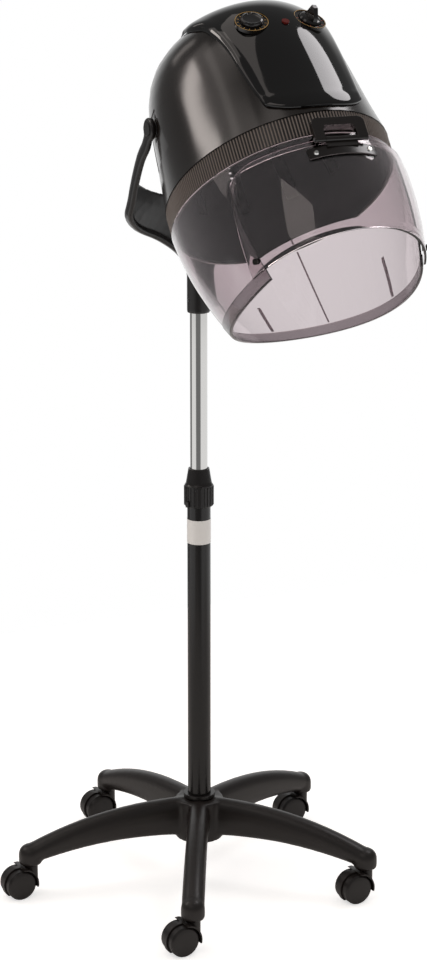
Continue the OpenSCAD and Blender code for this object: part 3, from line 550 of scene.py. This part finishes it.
def makeSkirtRibs():
    # moulded ribs and seams inside the visor, which run out at both ends
    points, faces = [], []
    steps, sunkIn = barForm["steps"], -barForm["sunk"]
    for turn, bar in [(turn, bar) for bar in skirtBars.values() for turn in bar["turns"]]:
        low = visorRim(turn) - visor["band"] - barForm["aboveBand"]
        half, crest = bar["half"], bar["half"] * barForm["crest"]
        first = len(points)
        for k in range(steps + 1):
            depth = bar["top"] + (low - bar["top"]) * k / steps
            ends = [barForm["endShare"] + n / barForm["endSteps"] for n in (k, steps - k)]
            stand = -bar["deep"] * min(1.0, *ends)
            for phi, off in ((turn - half, sunkIn), (turn - crest, stand),
                             (turn + crest, stand), (turn + half, sunkIn)):
                points.append(inHood(*visorLocal(phi, depth, off - visor["wall"])))
        for k in range(steps):
            for c in range(4):
                a, b = first + 4 * k + c, first + 4 * k + (c + 1) % 4
                faces.append([a, b, b + 4, a + 4])
        faces.append([first + c for c in range(4)])
        faces.append([first + 4 * steps + c for c in range(4)])
    ribs = objectFrom("visorRibs", points, faces, materials["visorEdge"], barForm["smoothAngle"])
    fit(ribs, "hood", "visor_clear")


flap = {
    "gap": 3.5,
    "wall": 2.6,
    "top": 14.0,
    "low": 158.0,
    "cornerShare": 0.3,
    "cornerDepth": 30,
    "sag": 10,
    "inset": 3,
    "flare": 11,
    "columns": 110,
    "rows": 44,
    "lipShares": (0.0, 0.7, 1.0, 1.0, 0.6),
}


def flapLocal(p, v, off):
    # p runs across the flap from -1 to 1, and v down it from 0 to 1
    corner = flap["cornerShare"]
    edge = max(0.0, (abs(p) - (1 - corner)) / corner)
    top = flap["top"] + flap["cornerDepth"] * (1 - math.sqrt(max(0.0, 1 - edge * edge)))
    low = flap["low"] + flap["sag"] * p * p
    depth = top + (low - top) * v
    half = visor["windowHalf"] - flap["inset"] + flap["flare"] * v
    return visorLocal(p * half, depth, off)


def makeFlap():
    # all its edges but the top one carry a lip that rolls off at the outside
    columns, rows, lips = flap["columns"], flap["rows"], flap["lipShares"]
    across = [1 - 2 * i / columns for i in range(columns + 1)]
    down = [j / rows for j in range(rows + 1)]

    def outside(i, j):
        fromEdge = min(i, columns - i, rows - j)
        lip = visor["lip"] * lips[max(0, len(lips) - 1 - fromEdge)]
        return flap["gap"] + flap["wall"] + lip

    outer = [[inHood(*flapLocal(p, v, outside(i, j))) for j, v in enumerate(down)]
             for i, p in enumerate(across)]
    inner = [[inHood(*flapLocal(p, v, flap["gap"])) for v in down] for p in across]
    made = wallObject("visorFlap", outer, inner, False, materials["visor"])
    fit(made, "flap", "visor_clear", "visor_flap")


makeSkirt()
makeSkirtBand()
makeSkirtRibs()
makeFlap()
print("visor made")

# The control panel follows the dome and flares at its top. Its rows are degrees up the dome, with half its
# width in degrees at each.
panel = {
    "rows": (64.3, 62.8, 59, 51, 43, 35, 28, 21, 14.5, 9.2, 5.5, 2.6, 1.23),
    "half": (70, 67, 62, 54, 46, 41.5, 38.3, 35.8, 34.2, 32.5, 31, 29.8, 29.2),
    "shares": (-1, -0.965, -0.89) + tuple(k / 6.6 for k in range(-5, 6)) + (0.89, 0.965, 1),
    "low": 8.0,
    "rise": 19.0,
    "bevel": 4.0,
    "bevelReach": 6.0,
    "narrowing": 0.8,
    "evenFrom": 0.25,
    "edges": (1.5, 5.0),
    "proud": 7.0,
    "seat": 0.6,
    "finer": 6,
    "smoothAngle": 40,
}
dial = {
    "x": 45.0,
    "height": 174.0,
    "tip": 25.0,
    "turn": 9.0,
    "bezel": 24.5,
    "bezelRun": 0.1,
    "bezelCut": (-3, 17),
    "lampDrop": 9.0,
    "lampHole": 5.7,
    "lampCut": (-1, 19),
    "cutSides": 96,
    "tries": 40,
    "pull": 0.3,
}


def betweenPoints(values, place):
    # a smooth curve through evenly numbered values
    k = min(int(place), len(values) - 2)
    t = place - k
    a, b, c, d = (values[min(max(k + n, 0), len(values) - 1)] for n in (-1, 0, 1, 2))
    return 0.5 * (2 * b + (c - a) * t + (2 * a - 5 * b + 4 * c - d) * t * t
                  + (3 * b - 3 * c + d - a) * t ** 3)


def panelPlace(share, j):
    # angle and height at a share of the panel's width, on one of its rows
    last = len(panel["half"]) - 1
    low, bevelReach = panel["low"], panel["bevelReach"]
    edgeHeight = low + panel["rise"] * abs(share) ** 3
    if j > last:
        height = edgeHeight + (panel["bevel"] if j == last + 1 else 0)
        return share * (panel["half"][last] - (j - last) * panel["narrowing"]), height
    height = hood["height"] * math.sin(math.radians(panel["rows"][j])) ** (2 / hood["square"])
    even = hood["height"] * panel["evenFrom"]
    if height < even:
        t = (height - low - bevelReach) / (even - low - bevelReach)
        height = edgeHeight + bevelReach + (even - edgeHeight - bevelReach) * t
    return share * panel["half"][j], height


def panelFace(middle, turn=0.0):
    # the panel's face over a place on the dome
    return (hoodMatrix @ Matrix.Translation(middle) @ Matrix.Rotation(math.radians(turn), 4, "Z")
            @ Matrix.Rotation(math.radians(90 - dial["tip"]), 4, "X")
            @ Matrix.Translation((0, 0, panel["proud"])))


def dialMatrix(side):
    base = domeRow(dial["height"])
    phi = 0.0
    for _ in range(dial["tries"]):
        phi += (dial["x"] - domeLocal(phi, base).x) * dial["pull"]
    return panelFace(domeLocal(side * phi, base), side * dial["turn"])


def lampMatrix():
    return panelFace(domeLocal(0, domeRow(dial["height"] - dial["lampDrop"])))


def roundCutter(matrix, radius, low, high):
    work = bmesh.new()
    bmesh.ops.create_cone(work, cap_ends=True, segments=dial["cutSides"], radius1=radius, radius2=radius,
                          depth=high - low, matrix=matrix @ Matrix.Translation((0, 0, (low + high) / 2)))
    mesh = bpy.data.meshes.new("cutter")
    work.to_mesh(mesh)
    work.free()
    cutter = bpy.data.objects.new("cutter", mesh)
    bpy.context.scene.collection.objects.link(cutter)
    return cutter


def makePanel():
    finer, edges, shares = panel["finer"], panel["edges"], panel["shares"]
    lastI, lastJ = len(shares) - 1, len(panel["half"]) + 1
    columns, rows = lastI * finer + 1, lastJ * finer + 1
    placed = [[panelPlace(share, j) for j in range(lastJ + 1)] for share in shares]

    def proud(i, j):
        inset = min(i, lastI - i, j, lastJ - j)
        return edges[inset] if inset < len(edges) else panel["proud"]

    def spread(pick):
        # finer values in both directions
        across = [[betweenPoints([pick(i, j) for i in range(lastI + 1)], n / finer) for j in range(lastJ + 1)]
                  for n in range(columns)]
        return [[betweenPoints(line, n / finer) for n in range(rows)] for line in across]

    angles = spread(lambda i, j: placed[i][j][0])
    heights = spread(lambda i, j: placed[i][j][1])
    offs = spread(proud)

    def grid(offAt):
        return [[inHood(*domeLocal(angles[i][j], domeRow(heights[i][j]), offAt(i, j))) for j in range(rows)]
                for i in reversed(range(columns))]

    body = wallObject("controlPanel", grid(lambda i, j: offs[i][j]), grid(lambda i, j: panel["seat"]), False,
                      materials["panel"])
    bezelHole = dial["bezel"] + dial["bezelRun"]
    cutters = [roundCutter(dialMatrix(side), bezelHole, *dial["bezelCut"]) for side in (-1, 1)]
    cutters.append(roundCutter(lampMatrix(), dial["lampHole"], *dial["lampCut"]))
    sunk(body, cutters)
    made = finishMesh("controlPanelFinish", body.data.copy(), materials["panel"], panel["smoothAngle"])
    bpy.data.objects.remove(body)
    fit(made, "hood", "panel_black", "control_panel")
    print("panel:", len(made.data.polygons), "faces")


makePanel()


# Repeated things grow from geometry trees with named sizes.
def startTree(name, sizes):
    tree = bpy.data.node_groups.new(name, "GeometryNodeTree")
    tree.interface.new_socket(name="Geometry", in_out="INPUT", socket_type="NodeSocketGeometry")
    for label, (kind, value) in sizes.items():
        socket = tree.interface.new_socket(name=label, in_out="INPUT", socket_type="NodeSocket" + kind)
        socket.default_value = value
    tree.interface.new_socket(name="Material", in_out="INPUT", socket_type="NodeSocketMaterial")
    tree.interface.new_socket(name="Geometry", in_out="OUTPUT", socket_type="NodeSocketGeometry")
    start = tree.nodes.new("NodeGroupInput")
    return tree, start.outputs


def endTree(tree, start, geometry):
    real = addNode(tree, "GeometryNodeRealizeInstances", {0: geometry})
    painted = addNode(tree, "GeometryNodeSetMaterial",
                      {"Geometry": real.outputs[0], "Material": start["Material"]})
    end = tree.nodes.new("NodeGroupOutput")
    tree.links.new(painted.outputs[0], end.inputs[0])


def grow(name, tree, material, place, sizes):
    piece = bpy.data.objects.new(name, bpy.data.meshes.new(name))
    bpy.context.scene.collection.objects.link(piece)
    modifier = piece.modifiers.new("grow", "NODES")
    modifier.node_group = tree
    labels = {item.name: item.identifier for item in tree.interface.items_tree if item.in_out == "INPUT"}
    modifier[labels["Material"]] = material
    for label, value in sizes.items():
        modifier[labels[label]] = value
    applied(piece)
    mesh = piece.data
    mesh.transform(place)
    bpy.data.objects.remove(piece)
    return finishMesh(name, mesh, material, meshWork["grownSmooth"])


def ribTree():
    tree, start = startTree("ovalRibs", {
        "Rib Count": ("Int", 180), "Half Width": ("Float", 163.0), "Half Length": ("Float", 197.0),
        "Rib Width": ("Float", 3.0), "Rib Depth": ("Float", 2.6), "Rib Height": ("Float", 36.0)})
    circle = addNode(tree, "GeometryNodeCurvePrimitiveCircle", {"Resolution": 360, "Radius": 1.0})
    scale = addNode(tree, "ShaderNodeCombineXYZ",
                    {"X": start["Half Width"], "Y": start["Half Length"], "Z": 1.0})
    spread = addNode(tree, "GeometryNodeTransform",
                     {"Geometry": circle.outputs[0], "Scale": scale.outputs[0]})
    points = addNode(tree, "GeometryNodeCurveToPoints",
                     {"Curve": spread.outputs[0], "Count": start["Rib Count"]}, mode="COUNT")
    turn = addNode(tree, "FunctionNodeAlignRotationToVector", {"Vector": points.outputs["Tangent"]},
                   axis="X", pivot_axis="Z")
    bar = addNode(tree, "GeometryNodeMeshCylinder", {"Vertices": 10, "Radius": 0.5, "Depth": 1.0})
    size = addNode(tree, "ShaderNodeCombineXYZ",
                   {"X": start["Rib Width"], "Y": start["Rib Depth"], "Z": start["Rib Height"]})
    rows = addNode(tree, "GeometryNodeInstanceOnPoints",
                   {"Points": points.outputs[0], "Instance": bar.outputs["Mesh"], "Rotation": turn.outputs[0],
                    "Scale": size.outputs[0]})
    endTree(tree, start, rows.outputs[0])
    return tree


def tickTree():
    tree, start = startTree("dialTicks", {
        "Tick Count": ("Int", 13), "Radius": ("Float", 20.0), "Start": ("Float", 0.0),
        "Sweep": ("Float", 5.0), "Tick Length": ("Float", 3.0), "Tick Width": ("Float", 0.8),
        "Thickness": ("Float", 0.3)})
    arc = addNode(tree, "GeometryNodeCurveArc",
                  {"Resolution": start["Tick Count"], "Radius": start["Radius"],
                   "Start Angle": start["Start"], "Sweep Angle": start["Sweep"]})
    points = addNode(tree, "GeometryNodeCurveToPoints", {"Curve": arc.outputs[0]}, mode="EVALUATED")
    place = addNode(tree, "GeometryNodeInputPosition")
    turn = addNode(tree, "FunctionNodeAlignRotationToVector", {"Vector": place.outputs[0]},
                   axis="X", pivot_axis="Z")
    size = addNode(tree, "ShaderNodeCombineXYZ",
                   {"X": start["Tick Length"], "Y": start["Tick Width"], "Z": start["Thickness"]})
    mark = addNode(tree, "GeometryNodeMeshCube", {"Size": size.outputs[0]})
    rows = addNode(tree, "GeometryNodeInstanceOnPoints",
                   {"Points": points.outputs[0], "Instance": mark.outputs["Mesh"],
                    "Rotation": turn.outputs[0]})
    endTree(tree, start, rows.outputs[0])
    return tree


ring = {
    "count": 240,
    "depth": 1.4,
    "inset": 0.5,
    "wall": 5.0,
    "height": 36.0,
    "ribWidth": 2.5,
    "ribHeight": 33.0,
    "columns": 240,
    "rimSteps": (0.2, 1.2, 1.6),
    "chamfer": 0.5,
    "seat": 0.3,
    "smoothAngle": 30,
}


def makeRing():
    # a sunk floor between two rims, with ribs standing in it
    floorOff = -ring["inset"] - ring["depth"]
    steps = ring["rimSteps"]
    heights = [-step for step in steps] + [step - ring["height"] for step in reversed(steps)]
    rim = [-ring["inset"] - ring["chamfer"], -ring["inset"], floorOff]
    inside = [floorOff - ring["wall"] + ring["seat"]] * len(heights)

    def grid(offs):
        made = []
        for i in range(ring["columns"]):
            a = -2 * math.pi * i / ring["columns"]
            made.append([inHood((hood["halfWidth"] + off) * math.sin(a),
                                -(hood["halfLength"] + off) * math.cos(a), z)
                         for z, off in zip(heights, offs)])
        return made

    body = wallObject("ringBody", grid(rim + rim[::-1]), grid(inside), True, materials["ring"],
                      smoothAngle=ring["smoothAngle"])
    fit(body, "hood", "ring_black", "ribbed_ring")
    place = hoodMatrix @ Matrix.Translation((0, 0, -ring["height"] / 2))
    # the ribs take the lighter grey, a painted highlight on the ring's black plastic
    ribs = grow("ringRibs", ribTree(), materials["ringRibPaintedHighlight"], place, {
        "Rib Count": ring["count"], "Half Width": hood["halfWidth"] + floorOff,
        "Half Length": hood["halfLength"] + floorOff, "Rib Width": ring["ribWidth"],
        "Rib Depth": 2 * ring["depth"], "Rib Height": ring["ribHeight"]})
    fit(ribs, "hood", "ring_black")
    print("ring:", len(ribs.data.polygons), "faces on its ribs")


dialMarks = {
    "timer": {"side": -1, "count": 13, "start": 2.2, "sweep": 4.9, "ink": "goldInk"},
    "heat": {"side": 1, "count": 6, "start": 3.0, "sweep": 3.2, "ink": "redInk"},
}
dialPrint = {
    "tickRadius": 20.2,
    "tickLength": 3.2,
    "tickWidth": 0.9,
    "tickThickness": 0.2,
    "tickHeight": 1.68,
    "lineEdges": (23.3, 24.2),
    "lineLow": 2.5,
    "lineHigh": 2.62,
    "columns": 96,
}


def lineEdgesAt(matrix, height):
    # the two edges of the round line at one height over the panel's face
    turns = [2 * math.pi * i / dialPrint["columns"] for i in range(dialPrint["columns"])]
    return [[matrix @ Vector((radius * math.cos(a), radius * math.sin(a), height))
             for radius in dialPrint["lineEdges"]] for a in turns]


def makeDialMarks():
    tree = tickTree()
    for name, mark in dialMarks.items():
        matrix = dialMatrix(mark["side"])
        place = matrix @ Matrix.Translation((0, 0, dialPrint["tickHeight"]))
        ticks = grow(name + "Ticks", tree, materials[mark["ink"]], place, {
            "Tick Count": mark["count"], "Radius": dialPrint["tickRadius"], "Start": mark["start"],
            "Sweep": mark["sweep"], "Tick Length": dialPrint["tickLength"],
            "Tick Width": dialPrint["tickWidth"], "Thickness": dialPrint["tickThickness"]})
        fit(ticks, "hood", "dial_trim")
        line = wallObject(name + "Line", lineEdgesAt(matrix, dialPrint["lineHigh"]),
                          lineEdgesAt(matrix, dialPrint["lineLow"]), True, materials["goldInk"])
        fit(line, "hood", "dial_trim")


makeRing()
makeDialMarks()
print("ring and dial marks made")


def smoothCopy(nodeName, body, slotName, material, edgeMm):
    # the same solid with merged corners, so that its round faces shade round
    copy = finishMesh(nodeName + "Finish", nodes[nodeName].data.copy(), material, meshWork["copySmooth"])
    if edgeMm:
        flat = bmesh.new()
        flat.from_mesh(copy.data)
        bmesh.ops.dissolve_limit(flat, angle_limit=math.radians(meshWork["flatWithin"]), verts=flat.verts,
                                 edges=flat.edges)
        flat.to_mesh(copy.data)
        flat.free()
        rounded(copy, edgeMm)
    return fit(copy, body, slotName, nodeName)


def moulded(nodeName, body, slotName, material, grainMm):
    # the same solid as one soft moulding with rounded inside and outside corners
    copy = finishMesh(nodeName + "Moulding", nodes[nodeName].data.copy(), material)
    form = copy.modifiers.new("form", "REMESH")
    form.mode = "VOXEL"
    form.voxel_size = grainMm * mm
    form.use_smooth_shade = True
    soft = copy.modifiers.new("soft", "SMOOTH")
    soft.factor = meshWork["softenBy"]
    soft.iterations = meshWork["softenPasses"]
    applied(copy)
    mesh = copy.data
    bpy.data.objects.remove(copy)
    made = finishMesh(nodeName + "Finish", mesh, material, meshWork["mouldedSmooth"])
    print(nodeName, len(made.data.polygons), "faces")
    return fit(made, body, slotName, nodeName)


nodeFinish = {
    "hub_collar": ("clamp", "clamp_plastic"),
    "hub_bolt": ("zinc", "zinc_steel"),
    "outer_pole": ("pole", "black_paint"),
    "clamp_collar": ("pole", "black_paint"),
    "clamp_collet": ("bearing", "bearing_nylon"),
    "pole_band": ("band", "pale_band"),
    "clamp_knob": ("clamp", "clamp_plastic"),
    "inner_tube": ("chrome", "chrome_tube"),
    "tube_guide": ("bearing", "bearing_nylon"),
    "yoke_screws": ("zinc", "zinc_steel"),
    "pivot_washers": ("chrome", "chrome_tube"),
    "pivot_caps": ("yoke", "yoke_plastic"),
    "inner_bowl": ("bowl", "bowl_metal"),
    "bowl_grille": ("zinc", "zinc_steel"),
    "motor": ("motor", "motor_case"),
    "motor_bracket": ("zinc", "zinc_steel"),
    "heater_frame": ("mica", "mica_board"),
    "heater_coils": ("wire", "heater_wire"),
    "timer_body": ("switch", "switch_body"),
    "heat_switch": ("switch", "switch_body"),
    "dial_bezels": ("bezel", "dial_trim"),
    "pilot_lamp": ("lamp", "lamp_red"),
    "cord_gland": ("gland", "gland_rubber"),
    "pivot_bolts": ("zinc", "zinc_steel"),
    "rear_grille": ("bracket", "bracket_black"),
    "hinge_bracket": ("bracket", "bracket_black"),
    "hinge_pin": ("zinc", "zinc_steel"),
    "fan": ("fan", "fan_plastic"),
    "timer_knob": ("knob", "knob_black"),
    "heat_knob": ("knob", "knob_black"),
    "flap_plate": ("bracket", "bracket_black"),
    "flap_screws": ("chrome", "chrome_tube"),
    "flap_clips": ("bracket", "bracket_black"),
}
casterFinish = {
    "stem": ("zinc", "zinc_steel"),
    "body": ("base", "base_plastic"),
    "axle": ("zinc", "zinc_steel"),
    "wheels": ("wheel", "wheel_black"),
}
for number in range(1, 6):
    for part, finish in casterFinish.items():
        nodeFinish["caster_%d_%s" % (number, part)] = finish
edgeWidths = {"hinge_bracket": 0.9, "heat_knob": 0.6, "flap_plate": 0.4, "hub_collar": 0.5}
mouldings = {
    "star_base": {"material": "base", "slot": "base_plastic", "grain": 2.6},
    "yoke": {"material": "yoke", "slot": "yoke_plastic", "grain": 1.8},
}

bodyOf = {node: body for body, members in frame["record"]["behaviour"]["bodies"].items() for node in members}
for nodeName, (materialKey, slotName) in nodeFinish.items():
    smoothCopy(nodeName, bodyOf[nodeName], slotName, materials[materialKey], edgeWidths.get(nodeName, 0.0))
for nodeName, cast in mouldings.items():
    moulded(nodeName, bodyOf[nodeName], cast["slot"], materials[cast["material"]], cast["grain"])
print("finishes laid on")

floorSheet = {
    "reach": 1.3,
    "colour": "#F2F2F2",
    "roughness": 0.9,
    "glow": 0.6,
}


def seenStraight(tree, rays):
    # 1 for what the camera sees, also through clear plastic
    return addNode(tree, "ShaderNodeMath",
                   {0: rays.outputs["Is Camera Ray"], 1: rays.outputs["Is Transmission Ray"]},
                   operation="MAXIMUM").outputs[0]


def makeStage():
    # a sheet that glows for the camera and takes the object's shadow
    reach = floorSheet["reach"]
    mesh = bpy.data.meshes.new("floor")
    mesh.from_pydata([(-reach, -reach, 0), (reach, -reach, 0), (reach, reach, 0), (-reach, reach, 0)], [],
                     [(0, 1, 2, 3)])
    material, tree, output = startMaterial("palePaperFloor")
    paper = addNode(tree, "ShaderNodeBsdfPrincipled",
                    {"Base Color": linear(floorSheet["colour"]), "Roughness": floorSheet["roughness"]})
    glow = addNode(tree, "ShaderNodeEmission", {"Color": (1, 1, 1, 1), "Strength": floorSheet["glow"]})
    lit = addNode(tree, "ShaderNodeAddShader", {0: paper.outputs[0], 1: glow.outputs[0]})
    rays = addNode(tree, "ShaderNodeLightPath")
    mixed = addNode(tree, "ShaderNodeMixShader",
                    {0: seenStraight(tree, rays), 1: paper.outputs[0], 2: lit.outputs[0]})
    tree.links.new(mixed.outputs[0], output.inputs["Surface"])
    mesh.materials.append(material)
    floor = bpy.data.objects.new("floor", mesh)
    bpy.context.scene.collection.objects.link(floor)


# The backdrop's and strips' limits are cosines of the angle to their aims, and the floor's are heights on a
# ball of radius 1.
studio = {
    "backdropAim": (0.416, 0.909, 0.0),
    "backdropFrom": 0.72,
    "backdropTo": 0.97,
    "ambient": 0.5,
    "ambientTint": (1.0, 0.93, 0.87, 1.0),
    "room": 0.19,
    "floorFrom": -0.12,
    "floorTo": -0.21,
    "floorGlow": 0.92,
    "strips": (
        {"aim": (-0.5, -0.866, 0.0), "from": 0.78, "to": 0.9, "dark": 0.92},
        {"aim": (-0.469, 0.883, 0.0), "from": 0.84, "to": 0.92, "dark": 0.85},
    ),
    "lampsAround": (0, -0.278, 1.3),
    "lampTint": (1.0, 0.91, 0.86),
}


def towardAim(tree, place, aim, start, full, low, high):
    # goes smoothly from low to high as a direction turns towards the aim
    toward = addNode(tree, "ShaderNodeVectorMath", {0: place.outputs["Generated"], 1: aim},
                     operation="DOT_PRODUCT")
    return addNode(tree, "ShaderNodeMapRange",
                   {"Value": toward.outputs["Value"], "From Min": start, "From Max": full, "To Min": low,
                    "To Max": high}, interpolation_type="SMOOTHSTEP").outputs[0]


def makeWorld():
    # reflections see a white backdrop behind the object, a bright floor below it with two dark strips, and
    # a dim room elsewhere; the camera sees white, also through clear plastic
    world = bpy.data.worlds.new("studio")
    bpy.context.scene.world = world
    world.use_nodes = True
    tree = world.node_tree
    tree.nodes.clear()
    output = tree.nodes.new("ShaderNodeOutputWorld")
    rays = addNode(tree, "ShaderNodeLightPath")
    place = addNode(tree, "ShaderNodeTexCoord")
    backdrop = towardAim(tree, place, studio["backdropAim"], studio["backdropFrom"], studio["backdropTo"],
                         studio["room"], 1.0)
    apart = addNode(tree, "ShaderNodeSeparateXYZ", {"Vector": place.outputs["Generated"]})
    glow = addNode(tree, "ShaderNodeMapRange",
                   {"Value": apart.outputs["Z"], "From Min": studio["floorFrom"],
                    "From Max": studio["floorTo"], "To Min": 0.0, "To Max": studio["floorGlow"]}).outputs[0]
    for strip in studio["strips"]:
        shade = towardAim(tree, place, strip["aim"], strip["from"], strip["to"], 1.0, 1.0 - strip["dark"])
        glow = addNode(tree, "ShaderNodeMath", {0: glow, 1: shade}, operation="MULTIPLY").outputs[0]
    around = addNode(tree, "ShaderNodeMath", {0: backdrop, 1: glow}, operation="MAXIMUM")
    ambient = addNode(tree, "ShaderNodeBackground",
                      {"Color": studio["ambientTint"], "Strength": studio["ambient"]})
    room = addNode(tree, "ShaderNodeBackground", {"Color": (1, 1, 1, 1), "Strength": around.outputs[0]})
    white = addNode(tree, "ShaderNodeBackground", {"Color": (1, 1, 1, 1), "Strength": 1.0})
    mirrored = addNode(tree, "ShaderNodeMixShader",
                       {0: rays.outputs["Is Glossy Ray"], 1: ambient.outputs[0], 2: room.outputs[0]})
    mixed = addNode(tree, "ShaderNodeMixShader",
                    {0: seenStraight(tree, rays), 1: mirrored.outputs[0], 2: white.outputs[0]})
    tree.links.new(mixed.outputs[0], output.inputs["Surface"])


# Each softbox stands in a direction seen from the hood: azimuth from the front towards +X, and elevation.
softboxes = {
    "panelWindow": {"azimuth": 101, "elevation": 45.5, "distance": 2.5, "size": (0.95, 1.15), "radiance": 4.0,
                    "shape": "ELLIPSE", "tint": (1.0, 0.965, 0.98)},
    "leftWall": {"azimuth": -126, "elevation": 28, "distance": 3.0, "size": (1.3, 1.7), "radiance": 0.7},
    "leftHigh": {"azimuth": -121, "elevation": 48, "distance": 2.8, "size": (0.8, 1.0), "radiance": 0.8},
    "leftWindow": {"azimuth": -131, "elevation": 21, "distance": 2.8, "size": (0.5, 0.85), "radiance": 5.5},
    "edgeLight": {"azimuth": -156, "elevation": 24, "distance": 2.8, "size": (0.35, 0.8), "radiance": 1.0},
    "topWall": {"azimuth": -150, "elevation": 68, "distance": 2.6, "size": (1.6, 1.2), "radiance": 0.8},
    "frontFill": {"azimuth": -58, "elevation": 36, "distance": 3.2, "size": (1.3, 1.5), "radiance": 1.1},
}


def makeSoftboxes():
    heart = Vector(studio["lampsAround"])
    for name, box in softboxes.items():
        light = bpy.data.lights.new(name, "AREA")
        light.shape = box.get("shape", "RECTANGLE")
        light.size, light.size_y = box["size"]
        light.color = box.get("tint", studio["lampTint"])
        light.energy = box["radiance"] * math.pi * box["size"][0] * box["size"][1]
        lamp = bpy.data.objects.new(name, light)
        a, e = math.radians(box["azimuth"]), math.radians(box["elevation"])
        toward = Vector((math.sin(a) * math.cos(e), -math.cos(a) * math.cos(e), math.sin(e)))
        lamp.location = heart + toward * box["distance"]
        lamp.rotation_euler = (-toward).to_track_quat("-Z", "Y").to_euler()
        bpy.context.scene.collection.objects.link(lamp)


makeStage()
makeWorld()
makeSoftboxes()
bpy.context.scene.view_settings.view_transform = "Standard"
print("stage made")
